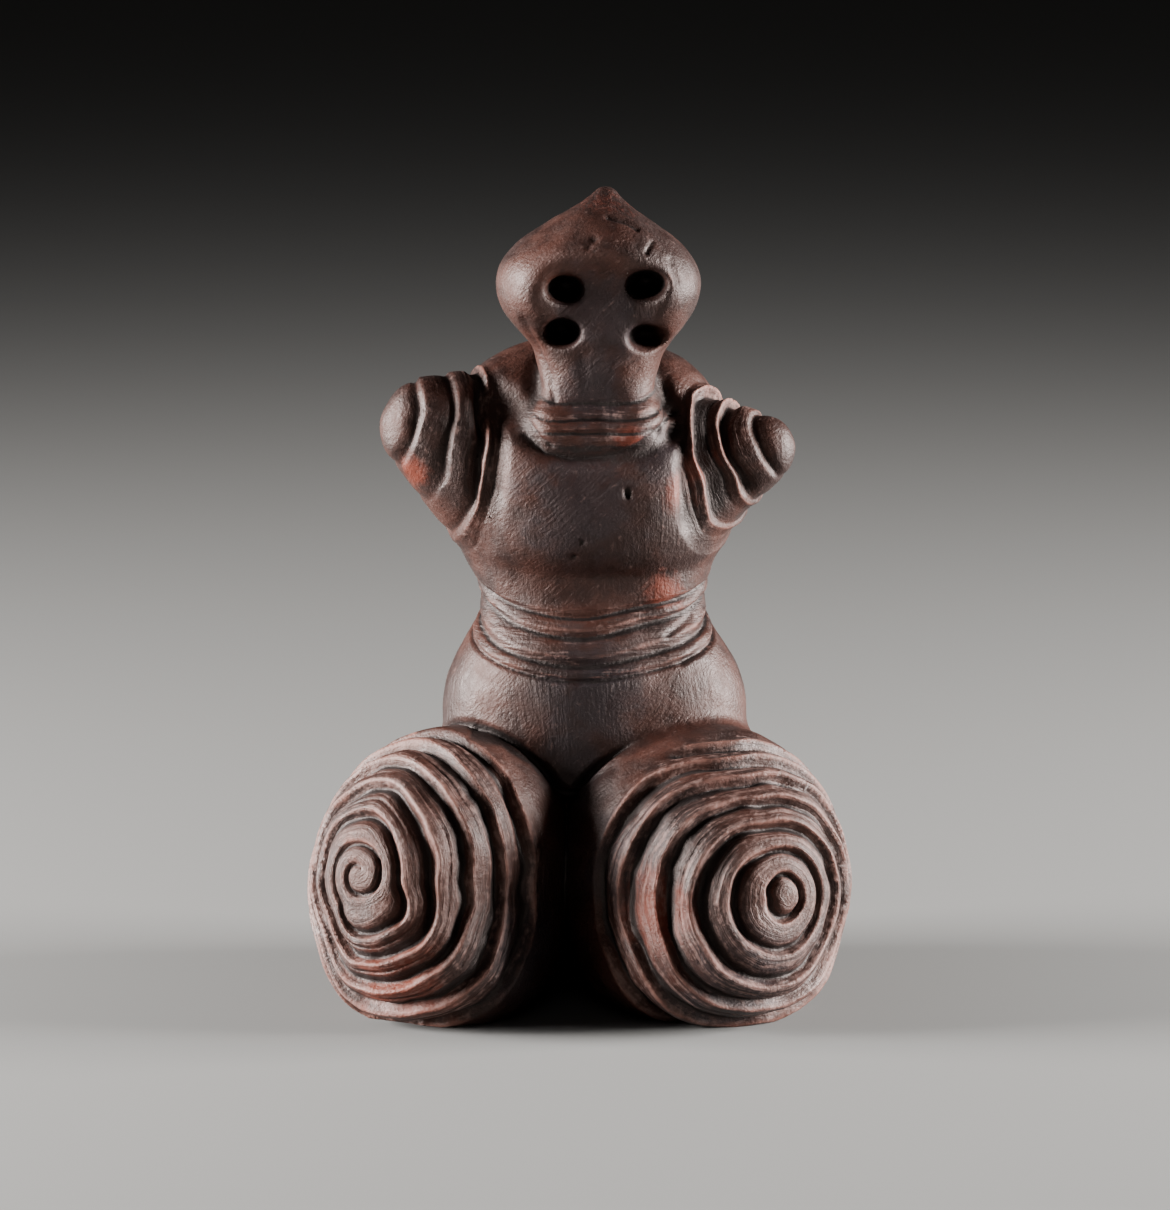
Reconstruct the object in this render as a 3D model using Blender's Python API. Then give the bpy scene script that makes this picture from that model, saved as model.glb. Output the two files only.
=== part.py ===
"""A seated mother goddess figurine of fired clay: one solid, modelled by hand and carved with spirals.

The clay is a set of lumps: thighs, buttocks, belly, chest, arm stumps, neck and head. Each lump is a ball
pushed out to its own form, the balls are fused, and the skin is settled onto the smooth blend between them.
Tools then carve it: the spirals on the thighs and arm stumps, the folds at the waist and neck, the creases
of the lap, the hollow of the face and its four pokes. The underside is cut flat to sit on.

Metres, +Z up, the front of the figure towards -Y, the origin at the middle of its footprint on the ground.
"""

import math

import bmesh
import bpy
import numpy as np
from mathutils import Euler, Vector

NODE_NAME = "figurine"

# The figure's height. Its pose and proportions are counted in 148ths of it, which is a millimetre each here.
FIGURE_HEIGHT = 0.148
SHARES_IN_HEIGHT = 148
SHARE = FIGURE_HEIGHT / SHARES_IN_HEIGHT

# The tool that drew the grooves and folds, which cuts as deep on a larger or smaller figure.
THIGH_GROOVE_DEPTH = 0.0019
ARM_GROOVE_DEPTH = 0.0017
WAIST_FOLD_DEPTH = 0.0009
NECK_FOLD_PITCH = 0.0023
NECK_FOLD_DEPTH = 0.0005
LAP_CREASE_DEPTH = 0.0018
LAP_CREASE_WIDTH = 0.0016
NECK_CREASE_DEPTH = 0.0009
NECK_CREASE_WIDTH = 0.0014
FACE_RECESS_DEPTH = 0.0024
THROAT_RECESS_DEPTH = 0.0013

# How late the band behind a groove's crest drops into the next groove: 1 is an even slant, more a flat band.
RING_FALL = 2.4
KNOB_FALL = 3.5
CHANNEL_FALL = 0.6

# How high the folds of the waist lie at the middle of its depth, from the lowest up.
WAIST_FOLD_HEIGHTS = (63.8, 66.4, 69.0, 73.6, 76.3, 79.2)

# How finely the clay is worked before its faces are thinned out.
SKIN_STEP = 0.0010
SOLID_TRIANGLES = 9600
SETTLE_STEPS = 7

CLAY_COLOUR = (0.105, 0.050, 0.036, 1.0)
CLAY_ROUGHNESS = 0.48


class Lump:
    """A ball of clay pressed to three half sizes, then turned and placed.

    A higher exponent makes it squarer, and plan is the exponent of its outline from above, if that differs.
    """

    def __init__(self, centre, radii, turn=(0, 0, 0), exponent=2.0, plan=None):
        self.centre = np.array(centre) * SHARE
        self.radii = np.array(radii) * SHARE
        self.axes = np.array(Euler([math.radians(angle) for angle in turn]).to_matrix())
        self.exponent = exponent
        self.plan = plan or exponent

    def distance(self, points):
        """About how far each point lies outside the lump, negative inside."""
        scaled = np.abs((points - self.centre) @ self.axes / self.radii) + 1e-9
        n, m = self.exponent, self.plan
        flat = (scaled[:, :2] ** m).sum(axis=1) ** (1 / m)
        level = (flat**n + scaled[:, 2] ** n) ** (1 / n)
        sideways = (flat / level) ** (n - 1) * (scaled[:, :2] / flat[:, None]).T ** (m - 1)
        upward = (scaled[:, 2] / level) ** (n - 1)
        slope = np.vstack((sideways, upward)).T / self.radii
        return (level - 1) / np.sqrt((slope**2).sum(axis=1))


class Taper:
    """Clay drawn out between two balls of different size, and pressed flatter from front to back."""

    def __init__(self, root, root_radius, tip, tip_radius, flatness=1.0):
        self.press = np.array((1, flatness, 1))
        self.root = np.array(root) * SHARE / self.press
        self.tip = np.array(tip) * SHARE / self.press
        self.root_radius = root_radius * SHARE
        self.tip_radius = tip_radius * SHARE
        self.centre = (self.root + self.tip) / 2 * self.press

    def distance(self, points):
        """How far each point lies outside the taper, negative inside."""
        line = self.tip - self.root
        length_2 = line @ line
        shrink = self.root_radius - self.tip_radius
        straight_2 = length_2 - shrink**2
        offset = points / self.press - self.root
        along = offset @ line
        beyond = along - length_2
        across_2 = ((offset * length_2 - along[:, None] * line) ** 2).sum(axis=1)
        side = np.sign(shrink) * shrink**2 * across_2
        near_tip = np.sign(beyond) * straight_2 * beyond**2 * length_2 > side
        near_root = np.sign(along) * straight_2 * along**2 * length_2 < side
        on_side = (np.sqrt(across_2 * straight_2 / length_2) + along * shrink) / length_2 - self.root_radius
        past_tip = np.sqrt(across_2 + beyond**2 * length_2) / length_2 - self.tip_radius
        past_root = np.sqrt(across_2 + along**2 * length_2) / length_2 - self.root_radius
        return np.where(near_tip, past_tip, np.where(near_root, past_root, on_side)) * self.press.min()


def smooth_step(low, high, values):
    """Eases from 0 at the low value to 1 at the high one, which may be the smaller of the two."""
    share = np.clip((values - low) / (high - low), 0, 1)
    return share * share * (3 - 2 * share)


class Spiral:
    """A groove drawn round a pole on a thigh.

    Its rings' starts and pitches are given for eight directions as the viewer sees them: left, lower left,
    down and so on round. With a hook, which is a tighter start at the pole, the rings wind on as one spiral.
    Without one they close on themselves round a knob.
    """

    def __init__(self, pole, facing, starts, pitches, end, hook=None, hook_pitch=None, hook_end=None):
        self.pole = np.array(pole) * SHARE
        self.sideways = np.array((-facing[1], facing[0], 0)) / math.hypot(*facing)
        self.starts = np.array(starts) * SHARE
        self.pitches = np.array(pitches) * SHARE
        self.end = end * SHARE
        self.hook = hook
        self.hook_pitch = hook_pitch
        self.hook_end = hook_end

    def reach(self, points):
        return np.linalg.norm(points - self.pole, axis=1)

    def turns(self, points):
        """How many times the groove has gone round the pole before it passes each point."""
        offset = points - self.pole
        around = np.arctan2(-offset[:, 2], -(offset @ self.sideways)) / (2 * math.pi) % 1.0
        eighth = np.floor(around * 8).astype(int)
        share = smooth_step(0, 1, around * 8 - eighth)
        start, pitch = (
            sizes[eighth % 8] + (sizes[(eighth + 1) % 8] - sizes[eighth % 8]) * share
            for sizes in (self.starts, self.pitches)
        )
        reach = self.reach(points)
        rings = (reach - start) / pitch
        if self.hook is None:
            return rings
        hook = (reach / SHARE - self.hook) / self.hook_pitch
        hooked = smooth_step(self.hook_end, 0.7 * self.hook_end, reach / SHARE)
        return rings + (hook - rings) * hooked - around

    def presence(self, points):
        """Where the groove shows, from 0 to 1."""
        reach = self.reach(points)
        if self.hook is None:
            begun = smooth_step(-0.75, -0.55, self.turns(points))
        else:
            begun = smooth_step(self.hook - 1.2, self.hook - 0.2, reach / SHARE)
        return begun * smooth_step(self.end, self.end - 2 * SHARE, reach)


class Coil:
    """A groove coiled round an arm stump, at one distance further in from the tip with each turn.

    It leaves the clay standing as a broad knob at the tip, and thin crests between wide channels behind it.
    """

    def __init__(self, tip, facing, pitch, start, knob, end):
        self.tip = np.array(tip) * SHARE
        self.facing = np.array(facing) / np.linalg.norm(facing)
        self.upward = np.cross(self.facing, (0, 1, 0)) * np.sign(-self.facing[0])
        self.pitch = pitch * SHARE
        self.start = start * SHARE
        self.knob = knob * SHARE
        self.end = end * SHARE

    def reach(self, points):
        return (self.tip - points) @ self.facing

    def round_arm(self, points):
        """How far round from the front each point lies, in turns, up to a half at the back."""
        offset = points - self.tip
        return np.arctan2(offset @ self.upward, -offset[:, 1]) / (2 * math.pi)

    def turns(self, points):
        """How many times the groove has gone round the stump before it passes each point."""
        return (self.reach(points) - self.start) / self.pitch + self.round_arm(points)

    def fall(self, points):
        """How late the band behind each crest drops."""
        on_knob = smooth_step(self.knob + 0.6 * SHARE, self.knob - 0.6 * SHARE, self.reach(points))
        return CHANNEL_FALL + (KNOB_FALL - CHANNEL_FALL) * on_knob

    def presence(self, points):
        """Where the groove shows, from 0 to 1: less over the top and on the knob, and not at the tip."""
        reach, around = self.reach(points), self.round_arm(points)
        here = smooth_step(self.start - 2.2 * SHARE, self.start - 1.2 * SHARE, reach)
        here *= smooth_step(self.end, self.end - 4 * SHARE, reach)
        here *= 0.45 + 0.55 * smooth_step(self.knob - 3 * SHARE, self.knob - SHARE, reach)
        return here * (1 - 0.6 * smooth_step(0.13, 0.20, around) * smooth_step(0.45, 0.35, around))


# The lumps, in shares of the height. The viewer's left is -X.
THIGHS = {
    "left": Lump((-25.2, -13.9, 25.0), (22.2, 27.6, 26.0), turn=(-5, 20, -27), exponent=2.12),
    "right": Lump((21.3, -11.7, 24.8), (24.9, 31.3, 25.8), turn=(0, -18, 28), exponent=2.2),
}
HAUNCHES = {
    "left": Lump((-24.6, -14.5, 13.5), (21.2, 28.5, 16.5), turn=(0, 0, -14), exponent=2.45, plan=2.3),
    "right": Lump((21.4, -13.0, 13.5), (22.9, 31.0, 16.5), turn=(0, 0, 17), exponent=2.4, plan=2.3),
}
BUTTOCKS = {
    "left": Lump((-14.5, 14.0, 22.0), (22.0, 21.0, 26.0)),
    "right": Lump((17.5, 14.0, 22.0), (23.0, 21.0, 26.0)),
}
BELLY = Lump((2.3, 2.0, 48.0), (27.9, 17.5, 21.5), exponent=2.9, plan=2.2)
LAP = Taper((-0.5, -4.0, 58.0), 17.0, (-0.8, -11.0, 43.0), 3.5, flatness=0.75)
WAIST = Lump((2.1, 2.0, 72.0), (20.1, 14.0, 24.0), exponent=3.0, plan=2.4)
CHEST = Lump((2.4, -0.5, 92.2), (21.5, 17.0, 15.5), exponent=3.1, plan=2.2)
HUMP = Lump((1.5, 6.0, 103.2), (22.5, 11.0, 17.0))
ARMS = {
    "left": Taper((-8.0, 0.0, 96.2), 20.0, (-27.2, -6.0, 104.2), 9.3, flatness=0.72),
    "right": Taper((11.0, 0.0, 95.4), 19.1, (32.2, -6.0, 100.3), 6.5, flatness=0.72),
}
SHOULDER_HOLLOWS = {
    "left": Lump((-15.2, -16.5, 110.5), (4.6, 8.5, 6.5), turn=(0, -12, 0)),
    "right": Lump((16.6, -15.0, 109.0), (1.8, 7.0, 6.5), turn=(0, -5, 0)),
}
COLLAR = Lump((2.3, -5.0, 105.0), (14.8, 13.0, 8.6), turn=(14, 0, 0), exponent=2.5, plan=2.8)
NECK = Taper((2.6, -4.0, 106.0), 12.0, (2.9, -7.5, 116.0), 9.8, flatness=0.9)
JAW = Taper((3.0, -7.5, 116.0), 9.8, (3.4, -9.0, 128.6), 14.0, flatness=0.84)
SKULL = Lump((3.0, -9.0, 130.8), (18.0, 14.2, 10.3))
CROWN = Taper((3.3, -9.0, 134.0), 10.6, (4.3, -8.0, 145.3), 2.7, flatness=0.95)

# The grooves drawn on the thighs, and those coiled round the arm stumps.
SPIRALS = {
    "left": Spiral(
        (-39.0, -36.4, 28.4),
        facing=(-0.51, -0.86),
        starts=(1.3, 2.2, 4.5, 2.4, -0.9, -0.3, 1.1, 1.4),
        pitches=(4.4, 3.8, 4.7, 5.6, 5.7, 5.5, 5.5, 5.1),
        end=34.0,
        hook=2.6,
        hook_pitch=3.6,
        hook_end=8.0,
    ),
    "right": Spiral(
        (35.6, -38.8, 24.4),
        facing=(0.48, -0.87),
        starts=(2.3, 2.5, 2.8, 3.3, 3.8, 4.1, 4.3, 3.4),
        pitches=(6.4, 6.1, 5.5, 5.1, 4.8, 4.5, 4.5, 5.7),
        end=35.5,
    ),
}
COILS = {
    "left": Coil((-27.4, -6.0, 104.8), (-0.95, -0.31, 0.05), pitch=5.5, start=-4.6, knob=6.4, end=12.0),
    "right": Coil((32.8, -6.0, 100.6), (0.91, -0.41, 0.15), pitch=4.3, start=-1.3, knob=3.0, end=13.0),
}

# The face is pressed in flat and then sunk below its hood, and the sunk part runs on down the throat.
FACE_HOLLOW = Lump((3.4, -30.0, 127.0), (15.0, 10.0, 11.0), exponent=2.5)
FACE_OUTLINE = Lump((3.5, 0.0, 127.3), (13.2, 1000.0, 10.0), exponent=2.4)
THROAT_OUTLINE = Lump((2.2, 0.0, 110.0), (7.2, 1000.0, 15.5), turn=(0, 5, 0), exponent=4.0)
EYE_POKES = (
    Lump((-2.9, -20.0, 130.4), (3.3, 7.5, 2.5)),
    Lump((11.5, -20.0, 131.3), (3.8, 7.5, 2.8)),
    Lump((-3.5, -17.0, 122.4), (3.2, 7.5, 2.5)),
    Lump((11.7, -17.0, 121.6), (3.4, 7.5, 2.4)),
)

# How far the clay is smoothed over each joint between lumps, in shares of the height.
SOFT_BLEND = 7.0 * SHARE
FIRM_BLEND = 3.0 * SHARE
CREASED_BLEND = 1.2 * SHARE
POKE_BLEND = 1.3 * SHARE


def blend(first, second, width):
    """The union of two distances, with the joint smoothed over about that width."""
    mix = np.clip(0.5 + 0.5 * (second - first) / width, 0, 1)
    return second + (first - second) * mix - width * mix * (1 - mix)


def carve_away(body, cutter, width):
    """The body's distance with the cutter taken out of it, its rim rounded over about that width."""
    return -blend(-body, cutter, width)


def distances_of(lumps, points):
    return {side: lump.distance(points) for side, lump in lumps.items()}


def torso_distance(points):
    """Belly, waist, chest, upper back, lap and arm stumps as one form, hollowed at both sides of the neck."""
    trunk = blend(BELLY.distance(points), WAIST.distance(points), SOFT_BLEND)
    trunk = blend(trunk, LAP.distance(points), FIRM_BLEND)
    trunk = blend(trunk, CHEST.distance(points), CREASED_BLEND)
    trunk = blend(trunk, HUMP.distance(points), SOFT_BLEND)
    for arm in distances_of(ARMS, points).values():
        trunk = blend(trunk, arm, SOFT_BLEND)
    for hollow in distances_of(SHOULDER_HOLLOWS, points).values():
        trunk = carve_away(trunk, hollow, FIRM_BLEND)
    return trunk


def head_distance(points):
    """Collar, neck, jaw, skull and crown, with the face pressed in."""
    head = blend(JAW.distance(points), SKULL.distance(points), SOFT_BLEND)
    head = blend(head, CROWN.distance(points), FIRM_BLEND)
    head = carve_away(head, FACE_HOLLOW.distance(points), FIRM_BLEND)
    neck = blend(NECK.distance(points), COLLAR.distance(points), FIRM_BLEND)
    return blend(head, neck, FIRM_BLEND)


def face_recess(points):
    """How far the face, and the flat front of the throat below it, are sunk below their rim."""
    outline = blend(FACE_OUTLINE.distance(points), THROAT_OUTLINE.distance(points), SOFT_BLEND)
    on_face = smooth_step(112 * SHARE, 123 * SHARE, points[:, 2])
    depth = THROAT_RECESS_DEPTH + (FACE_RECESS_DEPTH - THROAT_RECESS_DEPTH) * on_face
    in_front = smooth_step(-4 * SHARE, -9 * SHARE, points[:, 1])
    return depth * smooth_step(2.0 * SHARE, -7.0 * SHARE, outline) * in_front


def seat_distance(points):
    """The two buttocks, with the cleft between them."""
    return blend(*distances_of(BUTTOCKS, points).values(), FIRM_BLEND)


def thigh_distance(side, points):
    """One thigh: the round upper part on its spread underside."""
    return blend(THIGHS[side].distance(points), HAUNCHES[side].distance(points), FIRM_BLEND)


def thighs_distance(points):
    return blend(thigh_distance("left", points), thigh_distance("right", points), CREASED_BLEND)


def figure_distance(points):
    """The whole blended figure before its surface is carved."""
    trunk = blend(torso_distance(points), seat_distance(points), SOFT_BLEND)
    figure = blend(trunk, thighs_distance(points), FIRM_BLEND)
    figure = blend(figure, head_distance(points) + face_recess(points), CREASED_BLEND)
    for poke in EYE_POKES:
        figure = carve_away(figure, poke.distance(points), POKE_BLEND)
    return figure


def slope_of(distance, points, values):
    """The gradient of a distance at the points, by small steps."""
    step = 0.02 * SHARE
    columns = [(distance(points + step * axis) - values) / step for axis in np.eye(3)]
    return np.stack(columns, axis=1)


def settle(points, distance, steps):
    """Moves points along the slope until they lie on the surface. Returns them and their outward normals."""
    for _ in range(steps):
        values = distance(points)
        slope = slope_of(distance, points, values)
        length_2 = (slope**2).sum(axis=1) + 1e-9
        shift = np.clip(values / length_2, -2 * SHARE, 2 * SHARE)
        points = points - shift[:, None] * slope
    slope = slope_of(distance, points, distance(points))
    return points, slope / np.linalg.norm(slope, axis=1, keepdims=True)


def groove(turns, fall=RING_FALL):
    """How deep a drawn groove is, once in each turn: 1 at its bottom, 0 on the crest of its steep outer wall.

    The band behind the crest slants down into the next turn of the groove.
    """
    part = turns % 1.0
    wall = smooth_step(0.24, 0.05, part)
    band = np.clip((part - 0.24) / 0.76, 0, 1) ** fall
    return np.maximum(wall, band)


def thigh_carving(points):
    """The spiral round the pole of each thigh, fading into the smooth inner side of the lap."""
    depth = np.zeros(len(points))
    others = np.minimum(torso_distance(points), seat_distance(points))
    thighs = {side: thigh_distance(side, points) for side in SPIRALS}
    for side, other_side in (("left", "right"), ("right", "left")):
        spiral = SPIRALS[side]
        here = smooth_step(-0.4 * SHARE, 1.2 * SHARE, others - thighs[side])
        here *= smooth_step(-0.2 * SHARE, 0.8 * SHARE, thighs[other_side] - thighs[side])
        here *= spiral.presence(points)
        depth = np.maximum(depth, groove(spiral.turns(points)) * here)
    return depth * THIGH_GROOVE_DEPTH


def arm_carving(points):
    """The coil of grooves round each arm stump."""
    depth = np.zeros(len(points))
    outward = np.abs(points[:, 0] - CHEST.centre[0])
    height = points[:, 2] / SHARE
    on_arm = smooth_step(13 * SHARE, 16 * SHARE, outward)
    on_arm *= smooth_step(78, 84, height) * smooth_step(121, 117, height)
    for coil in COILS.values():
        here = coil.presence(points) * on_arm
        depth = np.maximum(depth, groove(coil.turns(points), coil.fall(points)) * here)
    return depth * ARM_GROOVE_DEPTH


def fold_carving(points):
    """The folds that ring the waist and the neck, which rise towards the back."""
    waist_height = (points[:, 2] - 0.4 * points[:, 1]) / SHARE
    at_waist = smooth_step(65.5, 67, waist_height) - smooth_step(77, 78.5, waist_height)
    turns = np.interp(waist_height, WAIST_FOLD_HEIGHTS, range(len(WAIST_FOLD_HEIGHTS)))
    waist = groove(turns) * at_waist * WAIST_FOLD_DEPTH
    neck_height = points[:, 2] - 0.35 * points[:, 1]
    at_neck = smooth_step(105.5, 107, neck_height / SHARE) - smooth_step(114, 117, neck_height / SHARE)
    on_neck = smooth_step(0.5 * SHARE, -1.0 * SHARE, head_distance(points) - torso_distance(points))
    neck = groove(neck_height / NECK_FOLD_PITCH) * at_neck * on_neck * NECK_FOLD_DEPTH
    return waist + neck


def crease(gap, width):
    """1 where two forms meet, falling off over the width."""
    return np.exp(-((gap / width) ** 2))


def crease_carving(points):
    """The line drawn where the thighs meet the belly, fading to the right, and that round the neck's foot."""
    torso = torso_distance(points)
    in_front = smooth_step(2 * SHARE, -6 * SHARE, points[:, 1])
    in_front *= 1 - 0.75 * smooth_step(2 * SHARE, 12 * SHARE, points[:, 0])
    lap = crease(torso - thighs_distance(points), LAP_CREASE_WIDTH) * in_front
    neck = crease(torso - head_distance(points), NECK_CREASE_WIDTH)
    return lap * LAP_CREASE_DEPTH + neck * NECK_CREASE_DEPTH


def carving_depth(points):
    seat_and_creases = np.maximum(thigh_carving(points), crease_carving(points))
    return seat_and_creases + arm_carving(points) + fold_carving(points)


def all_lumps():
    torso = [BELLY, LAP, WAIST, CHEST, HUMP, *ARMS.values()]
    head = [COLLAR, NECK, JAW, SKULL, CROWN]
    return [*THIGHS.values(), *HAUNCHES.values(), *BUTTOCKS.values(), *torso, *head]


def add_lump(mesh, lump):
    """Adds a ball to the mesh, each corner pushed along its own ray onto the lump's surface."""
    made = bmesh.ops.create_icosphere(mesh, subdivisions=4, radius=1)["verts"]
    rays = np.array([vertex.co for vertex in made])
    inner, outer = np.zeros(len(rays)), np.full(len(rays), FIGURE_HEIGHT)
    for _ in range(24):
        middle = (inner + outer) / 2
        inside = lump.distance(lump.centre + rays * middle[:, None]) < 0
        inner, outer = np.where(inside, middle, inner), np.where(inside, outer, middle)
    for vertex, ray, reach in zip(made, rays, inner):
        vertex.co = Vector(lump.centre + ray * reach)


def apply_modifier(figure, kind, **settings):
    modifier = figure.modifiers.new(kind, kind)
    for name, value in settings.items():
        setattr(modifier, name, value)
    bpy.ops.object.modifier_apply(modifier=modifier.name)


def points_of(mesh):
    points = np.empty(len(mesh.vertices) * 3)
    mesh.vertices.foreach_get("co", points)
    return points.reshape(-1, 3)


def set_points(mesh, points):
    mesh.vertices.foreach_set("co", points.ravel())
    mesh.update()


def balls_object(name, lumps):
    """An object of one ball for each lump, where they lie."""
    made = bpy.data.objects.new(name, bpy.data.meshes.new(name))
    bpy.context.scene.collection.objects.link(made)
    balls = bmesh.new()
    for lump in lumps:
        add_lump(balls, lump)
    balls.to_mesh(made.data)
    balls.free()
    return made


def fused_lumps():
    """The lumps as one closed skin of even faces, with the pokes of the face cut into it."""
    figure = balls_object(NODE_NAME, all_lumps())
    bpy.context.view_layer.objects.active = figure
    apply_modifier(figure, "REMESH", mode="VOXEL", voxel_size=SKIN_STEP)
    pokes = balls_object("eye_pokes", EYE_POKES)
    pokes.hide_render = True
    pokes.display_type = "WIRE"
    apply_modifier(figure, "BOOLEAN", object=pokes, operation="DIFFERENCE", solver="EXACT")
    bpy.data.objects.remove(pokes)
    apply_modifier(figure, "REMESH", mode="VOXEL", voxel_size=SKIN_STEP)
    return figure


def cut_underside(figure):
    """Cuts the clay flat at the ground and closes the cut."""
    body = bmesh.new()
    body.from_mesh(figure.data)
    everything = body.verts[:] + body.edges[:] + body.faces[:]
    cut = bmesh.ops.bisect_plane(
        body, geom=everything, dist=1e-6, plane_co=(0, 0, 0), plane_no=(0, 0, 1), clear_inner=True
    )
    rim = [part for part in cut["geom_cut"] if isinstance(part, bmesh.types.BMEdge)]
    bmesh.ops.holes_fill(body, edges=rim)
    bmesh.ops.triangulate(body, faces=[face for face in body.faces if len(face.verts) > 3])
    body.to_mesh(figure.data)
    body.free()


def centre_on_footprint(figure):
    points = points_of(figure.data)
    low, high = points.min(axis=0), points.max(axis=0)
    middle = np.array(((low[0] + high[0]) / 2, (low[1] + high[1]) / 2, low[2]))
    set_points(figure.data, points - middle)


def clay_material():
    material = bpy.data.materials.new("fired_clay")
    material.use_nodes = True
    shader = material.node_tree.nodes["Principled BSDF"]
    shader.inputs["Base Color"].default_value = CLAY_COLOUR
    shader.inputs["Roughness"].default_value = CLAY_ROUGHNESS
    shader.inputs["Metallic"].default_value = 0.0
    return material


def main():
    for thing in list(bpy.data.objects):
        bpy.data.objects.remove(thing)
    figure = fused_lumps()
    points, normals = settle(points_of(figure.data), figure_distance, SETTLE_STEPS)
    set_points(figure.data, points - normals * carving_depth(points)[:, None])
    triangles = sum(len(face.vertices) - 2 for face in figure.data.polygons)
    apply_modifier(figure, "DECIMATE", ratio=SOLID_TRIANGLES / triangles, use_collapse_triangulate=True)
    cut_underside(figure)
    centre_on_footprint(figure)
    figure.data.shade_smooth()
    figure.data.set_sharp_from_angle(angle=math.radians(50))
    figure.data.materials.append(clay_material())


if __name__ == "__main__":
    main()
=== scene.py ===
"""A seated mother goddess figurine of dark fired clay, its finish, and a studio to see it in.

The figure is one piece. Lumps of clay are set where the body's masses lie and fused into one skin,
and the skin is settled onto the smooth blend between them, as wet clay is thumbed together. Tools
then carve it: the spirals on the thighs, the coils on the arm stumps, the folds of the waist and
neck, and the hollow face with its four pokes. The firing left it brown to smoky black, and handling
has worn the ridges paler and in places to rust. Painted shade darkens its grooves, creases and the
unlit middle of its front, and a painted highlight makes its crests and streaks paler still.

Forms are in millimetres on a figure 148 mm tall, and scale with the figure's real height. Points
and distances are in metres, with one point to a row. The front is towards -Y, and left and right
are the viewer's.
"""

import logging
import math
from dataclasses import dataclass, fields
from enum import Enum
from itertools import product
from typing import Any, Callable, Optional, Union

import bpy
import numpy as np
from mathutils import Euler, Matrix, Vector
from mathutils.kdtree import KDTree


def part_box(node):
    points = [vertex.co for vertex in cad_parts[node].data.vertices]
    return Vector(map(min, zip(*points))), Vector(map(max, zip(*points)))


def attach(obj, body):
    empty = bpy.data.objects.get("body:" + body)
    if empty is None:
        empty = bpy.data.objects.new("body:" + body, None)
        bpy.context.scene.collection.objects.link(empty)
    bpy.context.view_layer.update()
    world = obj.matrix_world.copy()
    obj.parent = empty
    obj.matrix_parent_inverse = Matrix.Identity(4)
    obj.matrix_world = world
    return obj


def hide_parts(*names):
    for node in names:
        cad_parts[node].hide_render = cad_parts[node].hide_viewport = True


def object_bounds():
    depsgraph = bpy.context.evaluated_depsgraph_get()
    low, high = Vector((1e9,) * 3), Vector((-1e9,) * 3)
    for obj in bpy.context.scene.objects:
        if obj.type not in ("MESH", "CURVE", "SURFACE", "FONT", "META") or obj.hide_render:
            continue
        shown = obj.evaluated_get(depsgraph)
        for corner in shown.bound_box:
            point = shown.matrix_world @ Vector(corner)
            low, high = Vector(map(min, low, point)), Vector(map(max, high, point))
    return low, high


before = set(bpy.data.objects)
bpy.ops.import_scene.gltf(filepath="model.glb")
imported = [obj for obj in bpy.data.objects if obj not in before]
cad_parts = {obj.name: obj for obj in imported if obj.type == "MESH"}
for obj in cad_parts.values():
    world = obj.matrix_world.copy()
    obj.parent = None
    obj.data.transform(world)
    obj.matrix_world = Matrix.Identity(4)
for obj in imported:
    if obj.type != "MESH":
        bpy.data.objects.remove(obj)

CAD_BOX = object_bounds()
NODE = "figurine"
MODELLED_HEIGHT = 148
NODE_LOW, NODE_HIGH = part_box(NODE)
MM = (NODE_HIGH[2] - NODE_LOW[2]) / MODELLED_HEIGHT

# A skin fine enough to hold the grooves' crests.
SKIN_STEP = 0.42 * MM
MOST_TRIANGLES = 192_000
BALL_SUBDIVISIONS = 5
SETTLE_STEPS = 4
LONGEST_SETTLE = 2 * MM
SLOPE_STEP = 0.02 * MM

# How far the clay is smoothed over each joint between lumps.
SOFT_BLEND = 7.0 * MM
FIRM_BLEND = 3.0 * MM
CREASED_BLEND = 1.2 * MM
POKE_BLEND = 1.3 * MM

# The share of its reach at which the hook of a spiral starts to turn into rings.
HOOK_BLEND = 0.7

# Keeps roots and divisions clear of zero.
TINY = 1e-9
LATTICE_CELLS = 32

# The marks that the finish reads as they are.
KEPT_MARKS = ("hollow", "worn_and_highlit", "ringed", "lined", "rusty", "smudged_and_shaded")

Array = np.ndarray
Numbers = tuple[float, ...]
Distance = Callable[[Array], Array]

log = logging.getLogger("figurine")


class Side(Enum):
    """The viewer's side of the figure."""

    LEFT = "left"
    RIGHT = "right"


def smooth_step(low: float, high: float, values: Array) -> Array:
    """Eases from 0 to 1.

    Args:
        low: the value that gives 0.
        high: the value that gives 1, above or below the low one.
        values: the values to ease.

    Returns:
        A share from 0 to 1 for each value.
    """
    share = np.clip((values - low) / (high - low), 0, 1)
    return share * share * (3 - 2 * share)


def between(ends: tuple[Any, Any], share: Array) -> Array:
    """The values that lie between two ends, numbers or arrays, by the given shares."""
    return ends[0] + (ends[1] - ends[0]) * share


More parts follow.
